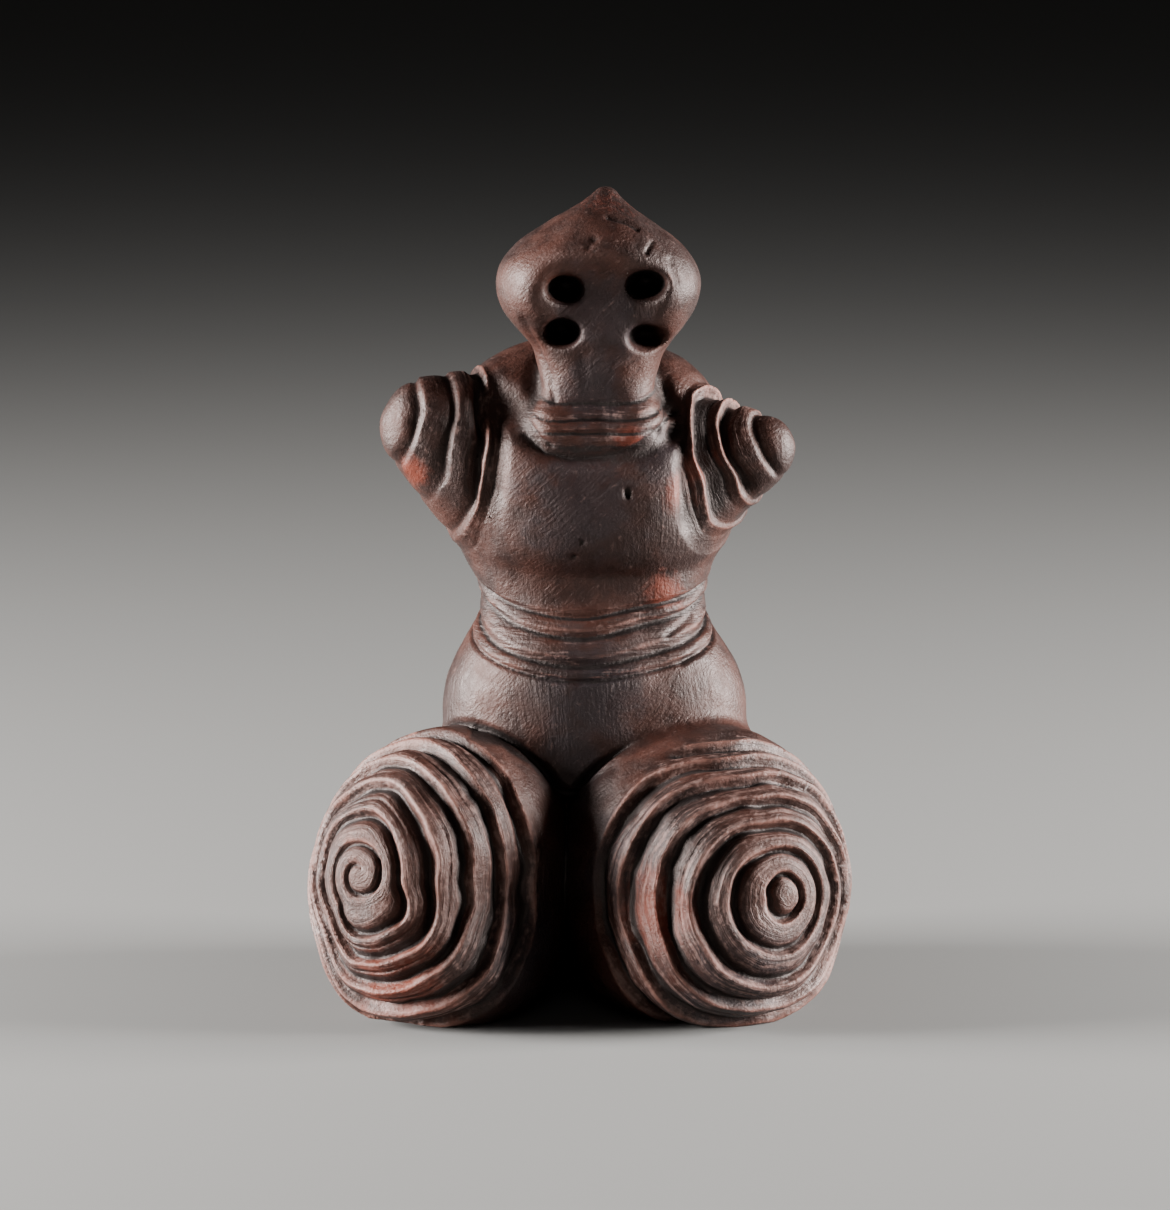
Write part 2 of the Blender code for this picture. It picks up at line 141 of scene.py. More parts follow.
class Edge(Enum):
    """The edges of the marks: where each is absent and where it is whole, in millimetres."""

    RINGS_OFF_BODY = (-0.4, 1.2)
    RINGS_OFF_OTHER_THIGH = (-0.2, 0.8)
    COILS_OFF_CHEST = (13, 16)
    COILS_FOOT = (78, 84)
    COILS_TOP = (121, 117)
    WAIST_FOOT = (65.5, 67.0)
    WAIST_TOP = (77.0, 78.5)
    COLLAR_FOOT = (105.5, 107)
    COLLAR_TOP = (114, 117)
    COLLAR_LINES_TOP = (113, 110)
    COLLAR_LINES_RIGHT = (15, 12)
    HEAD_OFF_TORSO = (1.0, -1.0)
    LAP_BACK = (2, -6)
    LAP_RIGHT = (12, 2)
    CLEFT = (1.5, 0.2)
    CLEFT_TOP = (40, 36)
    POKE = (-1.0, -3.0)
    FACE_BACK = (-4, -9)
    FACE_RIM = (2.0, -7.0)
    THROAT_TO_FACE = (112, 123)
    SCRATCH_BACK = (-4, -7)

    def share(self, values: Array) -> Array:
        """How far past the edge each value in millimetres lies, from 0 to 1."""
        return smooth_step(*self.value, values)


def blend(first: Array, second: Array, width: float) -> Array:
    """Joins two forms, given as distances.

    Args:
        first: each point's distance from the first form.
        second: its distance from the second.
        width: how far the joint is smoothed over, in metres.

    Returns:
        Each point's distance from the two together.
    """
    mix = np.clip(0.5 + 0.5 * (second - first) / width, 0, 1)
    return second + (first - second) * mix - width * mix * (1 - mix)


def carve_away(body: Array, cutter: Array, width: float) -> Array:
    """Takes one form out of another, given as distances, and rounds the rim over the width."""
    return -blend(-body, cutter, width)


@dataclass(frozen=True)
class Unevenness:
    """Smooth random ups and downs, the same at each run.

    Args:
        height: how far they go up and down.
        wavelength: the distance between neighbouring bumps, in millimetres.
        seed: chooses the pattern.
    """

    height: float
    wavelength: float
    seed: int

    def at(self, points: Array) -> Array:
        """The height of the pattern.

        Args:
            points: where it is wanted, in metres.

        Returns:
            The height at each point.
        """
        lattice = np.random.default_rng(self.seed).uniform(-1, 1, (LATTICE_CELLS,) * 3)
        place = points / (self.wavelength * MM)
        corner = np.floor(place).astype(int)
        share = smooth_step(0, 1, place - corner)
        total = np.zeros(len(points))
        for step in product((0, 1), repeat=3):
            weight = np.prod(np.where(np.array(step) == 1, share, 1 - share), axis=1)
            i, j, k = ((corner + step) % LATTICE_CELLS).T
            total += weight * lattice[i, j, k]
        return self.height * total


Patterns = tuple[Unevenness, ...]


def unevenness(patterns: Patterns, points: Array) -> Array:
    """The sum of the patterns at each point."""
    return sum(pattern.at(points) for pattern in patterns)


@dataclass(frozen=True)
class Lump:
    """A ball of clay pressed to three half sizes, turned, and squarer with a higher exponent.

    Args:
        centre: where its middle lies, in millimetres.
        radii: its three half sizes, in millimetres.
        turn: its turn about X, Y and Z, in degrees.
        exponent: 2 for an ellipsoid, more for a rounded block.
        plan: the exponent of its outline from above, where that differs.
    """

    centre: Numbers
    radii: Numbers
    turn: Numbers = (0, 0, 0)
    exponent: float = 2.0
    plan: Optional[float] = None

    def euler(self) -> Euler:
        """Its turn, for Blender."""
        return Euler([math.radians(angle) for angle in self.turn])

    def distance(self, points: Array) -> Array:
        """About how far out of it the points lie, from the form's level and its slope.

        Args:
            points: the points.

        Returns:
            The distances, negative inside.
        """
        radii = np.array(self.radii) * MM
        local = (points - np.array(self.centre) * MM) @ np.array(self.euler().to_matrix())
        scaled = np.abs(local / radii) + TINY
        n, m = self.exponent, self.plan or self.exponent
        flat = (scaled[:, :2] ** m).sum(axis=1) ** (1 / m)
        level = (flat**n + scaled[:, 2] ** n) ** (1 / n)
        sideways = (flat / level) ** (n - 1) * (scaled[:, :2] / flat[:, None]).T ** (m - 1)
        upward = (scaled[:, 2] / level) ** (n - 1)
        slope = np.vstack((sideways, upward)).T / radii
        return (level - 1) / np.sqrt((slope**2).sum(axis=1))

    def add(self) -> bpy.types.Object:
        """Adds the ball at its place and size.

        Returns:
            The new object.
        """
        bpy.ops.mesh.primitive_ico_sphere_add(
            subdivisions=BALL_SUBDIVISIONS,
            radius=1,
            location=np.array(self.centre) * MM,
            rotation=self.euler(),
            scale=np.array(self.radii) * MM,
        )
        return bpy.context.active_object


@dataclass(frozen=True)
class Taper:
    """Clay drawn out between two balls of different size, and pressed flatter from front to back.

    Args:
        root: the middle of the ball at the root, in millimetres.
        root_radius: that ball's radius.
        tip: the middle of the ball at the tip.
        tip_radius: that ball's radius.
        flatness: its depth as a share of its height.
    """

    root: Numbers
    root_radius: float
    tip: Numbers
    tip_radius: float
    flatness: float = 1.0

    def distance(self, points: Array) -> Array:
        """How far out of it the points lie.

        Args:
            points: the points.

        Returns:
            The distances, negative inside.
        """
        press = np.array((1, self.flatness, 1))
        root, tip = (np.array(end) * MM / press for end in (self.root, self.tip))
        root_radius, tip_radius = self.root_radius * MM, self.tip_radius * MM
        length = np.linalg.norm(tip - root)
        line = (tip - root) / length
        offset = points / press - root
        along = offset @ line
        across = np.linalg.norm(offset - along[:, None] * line, axis=1)
        lean = (root_radius - tip_radius) / length
        upright = math.sqrt(1 - lean**2)
        up_side = upright * along - lean * across
        on_side = upright * across + lean * along - root_radius
        past_root = np.hypot(across, along) - root_radius
        past_tip = np.hypot(across, along - length) - tip_radius
        ended = np.where(up_side > upright * length, past_tip, on_side)
        return np.where(up_side < 0, past_root, ended) * self.flatness

    def add(self) -> bpy.types.Object:
        """Adds its two balls and draws a skin tight over both.

        Returns:
            The new object.
        """
        balls = []
        for centre, radius in ((self.root, self.root_radius), (self.tip, self.tip_radius)):
            balls.append(Lump(centre, (radius, radius * self.flatness, radius)).add())
        taper = join(balls)
        bpy.ops.object.mode_set(mode="EDIT")
        bpy.ops.mesh.select_all(action="SELECT")
        bpy.ops.mesh.convex_hull()
        bpy.ops.object.mode_set(mode="OBJECT")
        return taper


Clay = Union[Lump, Taper]


@dataclass(frozen=True)
class Scoop:
    """The stick that drew a groove, as the shape it leaves from one groove's bottom to the next.

    A steep wall on the far side rises to a crest, and the band behind it falls away into the next
    groove. Places and widths are shares of the pitch, and heights are shares of the groove's depth.

    Args:
        wall: where the wall starts and ends.
        fall: 1 for a band that slants evenly, more where it stays level and then drops.
        lip: how far the crest stands proud, and its width.
        thread: the depth, place and width of the thin line along the band.
        grimy_fall: how far the band has fallen where its painted shade starts and is thickest.
        grimy_foot: where the painted shade at the wall's foot ends and is thickest.
        rub: the place of the worn line with its painted highlight, as a share of the crest's, and
            its width.
    """

    wall: Numbers = (0.05, 0.24)
    fall: float = 2.4
    lip: Numbers = (0.10, 0.06)
    thread: Numbers = (0.20, 0.55, 0.05)
    grimy_fall: Numbers = (0.25, 0.9)
    grimy_foot: Numbers = (0.10, 0.02)
    rub: Numbers = (0.9, 0.09)

    def level(self, turns: Array, spread: Union[Array, float] = 0.0) -> Array:
        """How far down the band has fallen.

        Args:
            turns: how many times the groove has gone round.
            spread: from -1 where the band slants most to 1 where the groove is narrowest.

        Returns:
            The share it has fallen, from 0 at the crest to 1 at the next groove's bottom.
        """
        crest = self.wall[1]
        band = np.clip((turns % 1.0 - crest) / (1 - crest), 0, 1)
        return band ** (self.fall * np.exp2(1.3 * spread))

    def depth(self, turns: Array, spread: Union[Array, float] = 0.0) -> Array:
        """How deep the groove is.

        Args:
            turns: how many times the groove has gone round.
            spread: how narrow it is, as in level.

        Returns:
            The depth: 1 at its bottom, 0 on the crest and below 0 on its lip.
        """
        part = turns % 1.0
        foot, crest = self.wall
        height, width = self.lip
        deep, place, thin = self.thread
        band = self.level(turns, spread)
        band += deep * np.clip(0.5 - spread, 0, 1) * np.exp(-(((part - place) / thin) ** 2))
        lip = height * np.exp(-(((part - crest) / width) ** 2))
        return np.maximum(smooth_step(crest, foot, part), band) - lip

    def grime(self, turns: Array, spread: Union[Array, float] = 0.0) -> Array:
        """How much painted shade lies there: most at the wall's foot, none on the wall itself."""
        fallen = smooth_step(*self.grimy_fall, self.level(turns, spread))
        return np.maximum(fallen, smooth_step(*self.grimy_foot, turns % 1.0))

    def wear(self, turns: Array) -> Array:
        """How much the crest and the top of its wall are worn and painted with a highlight."""
        return np.exp(-(((turns % 1.0 - self.rub[0] * self.wall[1]) / self.rub[1]) ** 2))


@dataclass(frozen=True)
class Spiral:
    """A groove round a pole on a thigh, from a tight hook at the pole to rings further apart.

    Args:
        pole: where the groove starts. Lengths are in millimetres.
        facing: the way the surface faces there, as X and Y.
        starts: where the rings start from, left, lower left, down and so on round.
        pitches: how far apart they lie in each of those directions.
        end: how far from the pole the last ring fades out.
        hook: where the hook starts, its pitch, and where the rings have taken over. Rings without
            a hook close on themselves round a knob.
        knob_rim: the turns at which rings round a knob begin and are whole.
        hook_rim: how far before the hook's start it begins and is whole.
        fade: the length over which the last ring fades.
        narrow: how narrow the groove is at the pole, for fine lines, and far out, for terraces.
        widening: where it starts and ends to widen.
    """

    pole: Numbers
    facing: Numbers
    starts: Numbers
    pitches: Numbers
    end: float
    hook: Optional[Numbers] = None
    knob_rim: Numbers = (-0.75, -0.55)
    hook_rim: Numbers = (1.2, 0.2)
    fade: float = 2.0
    narrow: Numbers = (1.1, -0.4)
    widening: Numbers = (5, 15)

    def reach(self, points: Array) -> Array:
        """Each point's distance from the pole, in millimetres."""
        return np.linalg.norm(points / MM - np.array(self.pole), axis=1)

    def turns(self, points: Array) -> Array:
        """How many times the groove has gone round before it passes each point.

        Args:
            points: the points.

        Returns:
            The turns, whole at the groove's bottom.
        """
        offset = points / MM - np.array(self.pole)
        sideways = np.array((-self.facing[1], self.facing[0], 0)) / math.hypot(*self.facing)
        around = np.arctan2(-offset[:, 2], -(offset @ sideways)) / (2 * math.pi) % 1.0
        eighth = np.floor(around * 8).astype(int)
        share = smooth_step(0, 1, around * 8 - eighth)
        start, pitch = (
            between((sizes[eighth % 8], sizes[(eighth + 1) % 8]), share)
            for sizes in (np.array(self.starts), np.array(self.pitches))
        )
        reach = self.reach(points)
        rings = (reach - start) / pitch
        if self.hook is None:
            return rings
        hook_start, hook_pitch, hook_end = self.hook
        hook = (reach - hook_start) / hook_pitch
        on_hook = smooth_step(hook_end, HOOK_BLEND * hook_end, reach)
        return between((rings, hook), on_hook) - around

    def presence(self, points: Array) -> Array:
        """Where it shows.

        Args:
            points: the points.

        Returns:
            A share from 0 to 1 for each point.
        """
        reach = self.reach(points)
        if self.hook is None:
            begun = smooth_step(*self.knob_rim, self.turns(points))
        else:
            before, whole = self.hook_rim
            begun = smooth_step(self.hook[0] - before, self.hook[0] - whole, reach)
        return begun * smooth_step(self.end, self.end - self.fade, reach)

    def spread(self, points: Array) -> Array:
        """How narrow the groove is next to its pitch."""
        return between(self.narrow, smooth_step(*self.widening, self.reach(points)))


@dataclass(frozen=True)
class Coil:
    """A groove coiled round an arm stump. Lengths are in millimetres.

    Args:
        tip: the middle of the stump's tip.
        facing: the way the coil's axis points, out of the tip.
        pitch: how much further in each turn lies.
        start: how far in from the tip the first turn passes the front.
        knob: how far in the broad knob at the tip runs, before thin crests between wide channels.
        end: how far in the last turn fades out.
        fade: the length over which it fades.
        rim: how far before its start it begins and is whole.
        on_knob: how strong it is on the knob.
        knob_rim: how far before the knob's end it gains strength and has it all.
        on_top: how strong it is over the top of the arm.
        top_foot: where it weakens up the front, in turns from the front.
        top_back: where it does down the back.
        narrow: how narrow the groove is beside the knob and behind it.
        widening: how near the knob's end it turns wide.
    """

    tip: Numbers
    facing: Numbers
    pitch: float
    start: float
    knob: float
    end: float
    fade: float = 4
    rim: Numbers = (2.2, 1.2)
    on_knob: float = 0.45
    knob_rim: Numbers = (3, 1)
    on_top: float = 0.4
    top_foot: Numbers = (0.13, 0.20)
    top_back: Numbers = (0.45, 0.35)
    narrow: Numbers = (0.4, -1.5)
    widening: float = 0.6

    def axis(self) -> Array:
        """The unit vector out of the tip."""
        return np.array(self.facing) / np.linalg.norm(self.facing)

    def reach(self, points: Array) -> Array:
        """How far in from the tip each point lies, in millimetres."""
        return (np.array(self.tip) - points / MM) @ self.axis()

    def round_arm(self, points: Array) -> Array:
        """How far round from the front the points lie.

        Args:
            points: the points.

        Returns:
            The turns, up to a half at the back.
        """
        offset = points / MM - np.array(self.tip)
        upward = np.cross(self.axis(), (0, 1, 0)) * np.sign(-self.facing[0])
        return np.arctan2(offset @ upward, -offset[:, 1]) / (2 * math.pi)

    def turns(self, points: Array) -> Array:
        """How many times the groove has gone round before it passes each point."""
        return (self.reach(points) - self.start) / self.pitch + self.round_arm(points)

    def presence(self, points: Array) -> Array:
        """Where it shows: less over the top of the arm and on the knob, and not at its tip.

        Args:
            points: the points.

        Returns:
            A share from 0 to 1 for each point.
        """
        reach, around = self.reach(points), self.round_arm(points)
        here = smooth_step(*(self.start - before for before in self.rim), reach)
        here *= smooth_step(self.end, self.end - self.fade, reach)
        behind_knob = smooth_step(*(self.knob - before for before in self.knob_rim), reach)
        here *= between((self.on_knob, 1), behind_knob)
        over_top = smooth_step(*self.top_foot, around) * smooth_step(*self.top_back, around)
        return here * between((1, self.on_top), over_top)

    def spread(self, points: Array) -> Array:
        """How narrow the groove is next to its pitch."""
        start, end = self.knob - self.widening, self.knob + self.widening
        return between(self.narrow, smooth_step(start, end, self.reach(points)))


@dataclass(frozen=True)
class Scratch:
    """A line drawn or a nick pressed in the front, from point to point.

    Args:
        width: its half width, in millimetres.
        depth: how deep it is.
        path: its points as X and Z.
    """

    width: float
    depth: float
    path: tuple[Numbers, ...]

    def depths(self, points: Array) -> Array:
        """How deep it cuts.

        Args:
            points: the points.

        Returns:
            The depth at each point, in millimetres.
        """
        flat = points[:, (0, 2)] / MM
        nearest = np.full(len(points), np.inf)
        for start, end in zip(self.path, self.path[1:] or self.path):
            line = np.subtract(end, start)
            along = np.clip((flat - start) @ line / max(line @ line, TINY), 0, 1)
            away = np.linalg.norm(flat - start - along[:, None] * line, axis=1)
            nearest = np.minimum(nearest, away)
        in_front = Edge.SCRATCH_BACK.share(points[:, 1] / MM)
        return self.depth * np.exp(-((nearest / self.width) ** 2)) * in_front


@dataclass(frozen=True)
class Stain:
    """A patch of another colour on the front.

    Args:
        centre: its middle, in millimetres.
        radius: how far it spreads.
    """

    centre: Numbers
    radius: float

    def share(self, points: Array) -> Array:
        """How much of it lies on each point, from 0 to 1."""
        away = (points / MM - np.array(self.centre)) / self.radius
        return np.exp(-(away**2).sum(axis=1))


@dataclass(frozen=True)
class Thigh:
    """One thigh: a round upper part on a spread underside, and the spiral carved on it."""

    upper: Lump
    underside: Lump
    spiral: Spiral

    def distance(self, points: Array) -> Array:
        """How far out of it each point lies."""
        return blend(self.upper.distance(points), self.underside.distance(points), FIRM_BLEND)


@dataclass(frozen=True)
class Seat:
    """What the figure sits on: its thighs, splayed to the front, and its buttocks behind.

    Args:
        thighs: the thigh on each side.
        buttocks: the lump behind each.
        groove_depth: how deep the rings are cut, in millimetres.
        pole_loss: the share of it that the fine rings at the poles lack.
    """

    thighs: dict[Side, Thigh]
    buttocks: dict[Side, Lump]
    groove_depth: float = 1.9
    pole_loss: float = 0.35

    def lumps(self) -> list[Clay]:
        """Its clay."""
        thighs = [lump for thigh in self.thighs.values() for lump in (thigh.upper, thigh.underside)]
        return [*thighs, *self.buttocks.values()]

    def thighs_distance(self, points: Array) -> Array:
        """How far out of the thighs each point lies."""
        left, right = (self.thighs[side].distance(points) for side in Side)
        return blend(left, right, CREASED_BLEND)

    def buttocks_distance(self, points: Array) -> Array:
        """How far out of the buttocks each point lies."""
        left, right = (self.buttocks[side].distance(points) for side in Side)
        return blend(left, right, FIRM_BLEND)


@dataclass(frozen=True)
class Torso:
    """Belly, lap, waist, chest and upper back, with an arm stump at each side.

    The hollows are pressed in beside the neck. The groove depth is the coils', in millimetres.
    """

    belly: Lump
    lap: Taper
    waist: Lump
    chest: Lump
    hump: Lump
    arms: dict[Side, Taper]
    hollows: dict[Side, Lump]
    coils: dict[Side, Coil]
    groove_depth: float = 1.7

    def lumps(self) -> list[Clay]:
        """Its clay."""
        return [self.belly, self.lap, self.waist, self.chest, self.hump, *self.arms.values()]

    def distance(self, points: Array) -> Array:
        """How far out of it the points lie.

        Args:
            points: the points.

        Returns:
            The distances, negative inside.
        """
        trunk = self.belly.distance(points)
        for lump, width in (
            (self.waist, SOFT_BLEND),
            (self.lap, FIRM_BLEND),
            (self.chest, CREASED_BLEND),
            (self.hump, SOFT_BLEND),
            *((arm, SOFT_BLEND) for arm in self.arms.values()),
        ):
            trunk = blend(trunk, lump.distance(points), width)
        for hollow in self.hollows.values():
            trunk = carve_away(trunk, hollow.distance(points), FIRM_BLEND)
        return trunk


@dataclass(frozen=True)
class Head:
    """A neck in a rolled collar, a turban-like skull with a pinched crown, and a sunk face.

    The outlines, endless from front to back, mark out what is sunk: the throat and the face, by
    the two recess depths, with a rim as unsteady as the waver.
    """

    collar: Lump
    neck: Taper
    jaw: Taper
    skull: Lump
    crown: Taper
    face_hollow: Lump
    face_outline: Lump
    throat_outline: Lump
    pokes: tuple[Lump, ...]
    recess_depths: Numbers = (1.3, 2.4)
    recess_waver: Unevenness = Unevenness(0.35, 6, 11)

    def lumps(self) -> list[Clay]:
        """Its clay."""
        return [self.collar, self.neck, self.jaw, self.skull, self.crown]

    def distance(self, points: Array) -> Array:
        """How far out of it the points lie, with the face pressed in flat.

        Args:
            points: the points.

        Returns:
            The distances, negative inside.
        """
        head = blend(self.jaw.distance(points), self.skull.distance(points), SOFT_BLEND)
        head = blend(head, self.crown.distance(points), FIRM_BLEND)
        head = carve_away(head, self.face_hollow.distance(points), FIRM_BLEND)
        neck = blend(self.neck.distance(points), self.collar.distance(points), FIRM_BLEND)
        return blend(head, neck, FIRM_BLEND)

    def recess(self, points: Array) -> Array:
        """How far the face, and the flat front of the throat below it, are sunk below their rim.

        Args:
            points: the points.

        Returns:
            The depth at each point, in metres.
        """
        _, forward, height = (points / MM).T
        face, throat = self.face_outline.distance(points), self.throat_outline.distance(points)
        outline = blend(face, throat, SOFT_BLEND) / MM + self.recess_waver.at(points)
        depth = between(self.recess_depths, Edge.THROAT_TO_FACE.share(height))
        return depth * MM * Edge.FACE_RIM.share(outline) * Edge.FACE_BACK.share(forward)


def deselect_all() -> None:
    """Leaves nothing selected."""
    bpy.ops.object.select_all(action="DESELECT")


def join(pieces: list[bpy.types.Object]) -> bpy.types.Object:
    """Joins objects into the first of them, with its place put into its mesh.

    Args:
        pieces: the objects to join.

    Returns:
        The first one, now holding them all.
    """
    deselect_all()
    for piece in pieces:
        piece.select_set(True)
    bpy.context.view_layer.objects.active = pieces[0]
    bpy.ops.object.join()
    bpy.ops.object.transform_apply(location=True, rotation=True, scale=True)
    return pieces[0]


def apply_modifier(piece: bpy.types.Object, kind: str, **settings: Any) -> None:
    """Adds a modifier and applies it.

    Args:
        piece: the object to change.
        kind: the modifier's type in Blender.
        settings: the modifier's own properties.
    """
    modifier = piece.modifiers.new(kind, kind)
    for name, value in settings.items():
        setattr(modifier, name, value)
    bpy.context.view_layer.objects.active = piece
    bpy.ops.object.modifier_apply(modifier=modifier.name)


def read_rows(items: Any, name: str, width: int, kind: type = float) -> Array:
    """Reads one property of a mesh's points or edges.

    Args:
        items: the points or edges.
        name: the property.
        width: how many numbers each has of it.
        kind: their type.

    Returns:
        The numbers, one point or edge to a row.
    """
    numbers = np.empty(len(items) * width, kind)
    items.foreach_get(name, numbers)
    return numbers.reshape(-1, width)


def set_points(mesh: bpy.types.Mesh, points: Array) -> None:
    """Moves the mesh's points."""
    mesh.vertices.foreach_set("co", points.ravel())
    mesh.update()


def slope_of(distance: Distance, points: Array, values: Array) -> Array:
    """The gradient of a distance at the points, found by small steps.

    Args:
        distance: gives each point's distance from a form.
        points: where the gradient is wanted.
        values: the distance there.

    Returns:
        The gradient, one to a row.
    """
    steps = SLOPE_STEP * np.eye(3)
    return np.stack([(distance(points + step) - values) / SLOPE_STEP for step in steps], axis=1)


def settle(points: Array, distance: Distance) -> tuple[Array, Array]:
    """Moves points along the slope until they lie on a form's surface.

    Args:
        points: points near the surface.
        distance: gives each point's distance from the form.

    Returns:
        The points on the surface, and the way out of it at each.
    """
    for _ in range(SETTLE_STEPS):
        values = distance(points)
        slope = slope_of(distance, points, values)
        shift = values / ((slope**2).sum(axis=1) + TINY)
        points = points - np.clip(shift, -LONGEST_SETTLE, LONGEST_SETTLE)[:, None] * slope
    slope = slope_of(distance, points, distance(points))
    return points, slope / np.linalg.norm(slope, axis=1, keepdims=True)


@dataclass
class Marks:
    """What the tools left at each point of the clay.

    Args:
        depth: how deep the clay is cut, in metres.
        hollow: 1 where painted shade darkens the grooves, folds and creases, the cleft, the pokes
            and the scratches.
        worn_and_highlit: 1 on the crests that hands have rubbed, also painted paler there as a
            highlight.
        ringed: 1 where a spiral or coil runs.
        turns: how many times that groove has gone round.
        lined: 1 where fine level lines were drawn, round the collar and the waist.
        rusty: 1 where the smoked skin is rubbed through in a patch.
        smudged_and_shaded: 1 on the fire's near-black smoke smudges and on the painted shade over
            the unlit middle of the front.
    """

    depth: Array
    hollow: Array
    worn_and_highlit: Array
    ringed: Array
    turns: Array
    lined: Array
    rusty: Array
    smudged_and_shaded: Array

    def darken(self, share: Array) -> None:
        """Adds painted shade."""
        self.hollow = np.maximum(self.hollow, share)

    def rub(self, share: Array) -> None:
        """Adds wear and painted highlight."""
        self.worn_and_highlit = np.maximum(self.worn_and_highlit, share)

    def kept(self) -> dict[str, Array]:
        """Picks what the finish reads, with the groove's turn as a place on a circle.

        Returns:
            The marks by name.
        """
        angle = 2 * math.pi * self.turns
        marks = {name: getattr(self, name) for name in KEPT_MARKS}
        return {**marks, "ring_cosine": np.cos(angle), "ring_sine": np.sin(angle)}


@dataclass(frozen=True)
class Figurine:
    """The whole figure: its clay, its carving, and the piece they make. Lengths are in millimetres.

    Args:
        scratches: the single lines, nicks and pits.
        rust: where the smoked skin is rubbed through.
        smudges: where the smoke is thickest, and the painted shade on the unlit middle of the
            front.
        lap_crease: the depth and width of the crease above the thighs.
        neck_crease: those of the crease round the neck.
        waist_folds: how high they lie at the middle of the waist's depth.
        collar_fold_pitch: how far apart the collar's lie.
        fold_depths: how deep the waist's and the collar's are.
        fold_rises: how steeply they rise towards the back.
        fold_wall: as in Scoop.
        fold_wear: how worn their crests are, with their painted highlight, next to the rings'.
        ring_wander: how far the rings stray, in turns.
        ring_strength: how their depth varies, as a share.
        ring_spread: how their narrowness varies.
        coil_bend: how far the coils stray along X, Y and Z.
        fold_sway: how far the folds stray up and down.
        fold_strength: how their depth varies, as a share.
        dents: the hand's dents all over.
    """

    seat: Seat
    torso: Torso
    head: Head
    scratches: tuple[Scratch, ...]
    rust: tuple[Stain, ...]
    smudges: tuple[Stain, ...]
    lap_crease: Numbers = (1.7, 0.8)
    neck_crease: Numbers = (1.0, 1.2)
    waist_folds: Numbers = (63.8, 66.4, 69.0, 73.6, 76.3, 79.2)
    collar_fold_pitch: float = 2.3
    fold_depths: Numbers = (0.9, 0.5)
    fold_rises: Numbers = (0.4, 0.35)
    fold_wall: Numbers = (0.06, 0.38)
    fold_wear: float = 0.6
    ring_wander: Patterns = (Unevenness(0.12, 11, 3), Unevenness(0.06, 4, 4))
    ring_strength: Patterns = (Unevenness(0.3, 9, 5), Unevenness(0.2, 3, 13))
    ring_spread: Patterns = (Unevenness(0.7, 8, 8),)
    coil_bend: tuple[Patterns, ...] = (
        (Unevenness(0.9, 12, 21), Unevenness(0.4, 4, 24)),
        (Unevenness(0.9, 12, 22), Unevenness(0.4, 4, 25)),
        (Unevenness(0.9, 12, 23), Unevenness(0.4, 4, 26)),
    )
    fold_sway: Patterns = (Unevenness(0.5, 12, 6),)
    fold_strength: Patterns = (Unevenness(0.35, 10, 9),)
    dents: Patterns = (Unevenness(0.28, 14, 1), Unevenness(0.20, 5, 2), Unevenness(0.07, 2.3, 7))

    def unpoked_distance(self, points: Array) -> Array:
        """How far out of the blended figure the points lie, without the pokes of the face.

        Args:
            points: the points.

        Returns:
            The distances, negative inside.
        """
        body = blend(self.torso.distance(points), self.seat.buttocks_distance(points), SOFT_BLEND)
        body = blend(body, self.seat.thighs_distance(points), FIRM_BLEND)
        return blend(body, self.head.distance(points) + self.head.recess(points), CREASED_BLEND)

    def distance(self, points: Array) -> Array:
        """How far out of the blended figure the points lie, before its surface is carved.

        Args:
            points: the points.

        Returns:
            The distances, negative inside.
        """
        figure = self.unpoked_distance(points)
        for poke in self.head.pokes:
            figure = carve_away(figure, poke.distance(points), POKE_BLEND)
        return figure

    def add_ring_marks(self, marks: Marks, points: Array) -> None:
        """Adds the spirals on the thighs and the coils on the arms.

        Args:
            marks: the marks to add to.
            points: the clay's points.
        """
        wander = unevenness(self.ring_wander, points)
        strength = 1 + unevenness(self.ring_strength, points)
        spread = unevenness(self.ring_spread, points)
        body = np.minimum(self.torso.distance(points), self.seat.buttocks_distance(points)) / MM
        thighs = {side: self.seat.thighs[side].distance(points) / MM for side in Side}
        for side, other_side in ((Side.LEFT, Side.RIGHT), (Side.RIGHT, Side.LEFT)):
            spiral = self.seat.thighs[side].spiral
            here = Edge.RINGS_OFF_BODY.share(body - thighs[side])
            here *= Edge.RINGS_OFF_OTHER_THIGH.share(thighs[other_side] - thighs[side])
            here *= spiral.presence(points)
            near_pole = spiral.spread(points)
            loss = self.seat.pole_loss * smooth_step(0, spiral.narrow[0], near_pole)
            depth = strength * self.seat.groove_depth * (1 - loss)
            self.add_rings(marks, spiral.turns(points) + wander, here, depth, spread + near_pole)
        sideways, _, height = (points / MM).T
        on_arm = Edge.COILS_OFF_CHEST.share(np.abs(sideways - self.torso.chest.centre[0]))
        on_arm *= Edge.COILS_FOOT.share(height) * Edge.COILS_TOP.share(height)
        bend = np.stack([unevenness(patterns, points) for patterns in self.coil_bend], axis=1)
        bent = points + MM * bend
        for coil in self.torso.coils.values():
            here = coil.presence(bent) * on_arm
            depth = strength * self.torso.groove_depth
            self.add_rings(marks, coil.turns(bent), here, depth, 0.5 * spread + coil.spread(bent))

    @staticmethod
    def add_rings(marks: Marks, turns: Array, here: Array, depth: Array, spread: Array) -> None:
        """Adds one groove's rings to the marks.

        Args:
            marks: the marks to add to.
            turns: how many times the groove has gone round at each point.
            here: where it shows.
            depth: how deep it is cut, in millimetres.
            spread: how narrow it is.
        """
        scoop = Scoop()
        marks.depth += scoop.depth(turns, spread) * here * depth * MM
        # Painted shade down the groove's falling band and at its wall's foot.
        marks.darken(scoop.grime(turns, spread) * here)
        # Wear on the crest, with a painted highlight.
        marks.rub(scoop.wear(turns) * here)
        marks.turns = np.where(here > marks.ringed, turns, marks.turns)
        marks.ringed = np.maximum(marks.ringed, here)

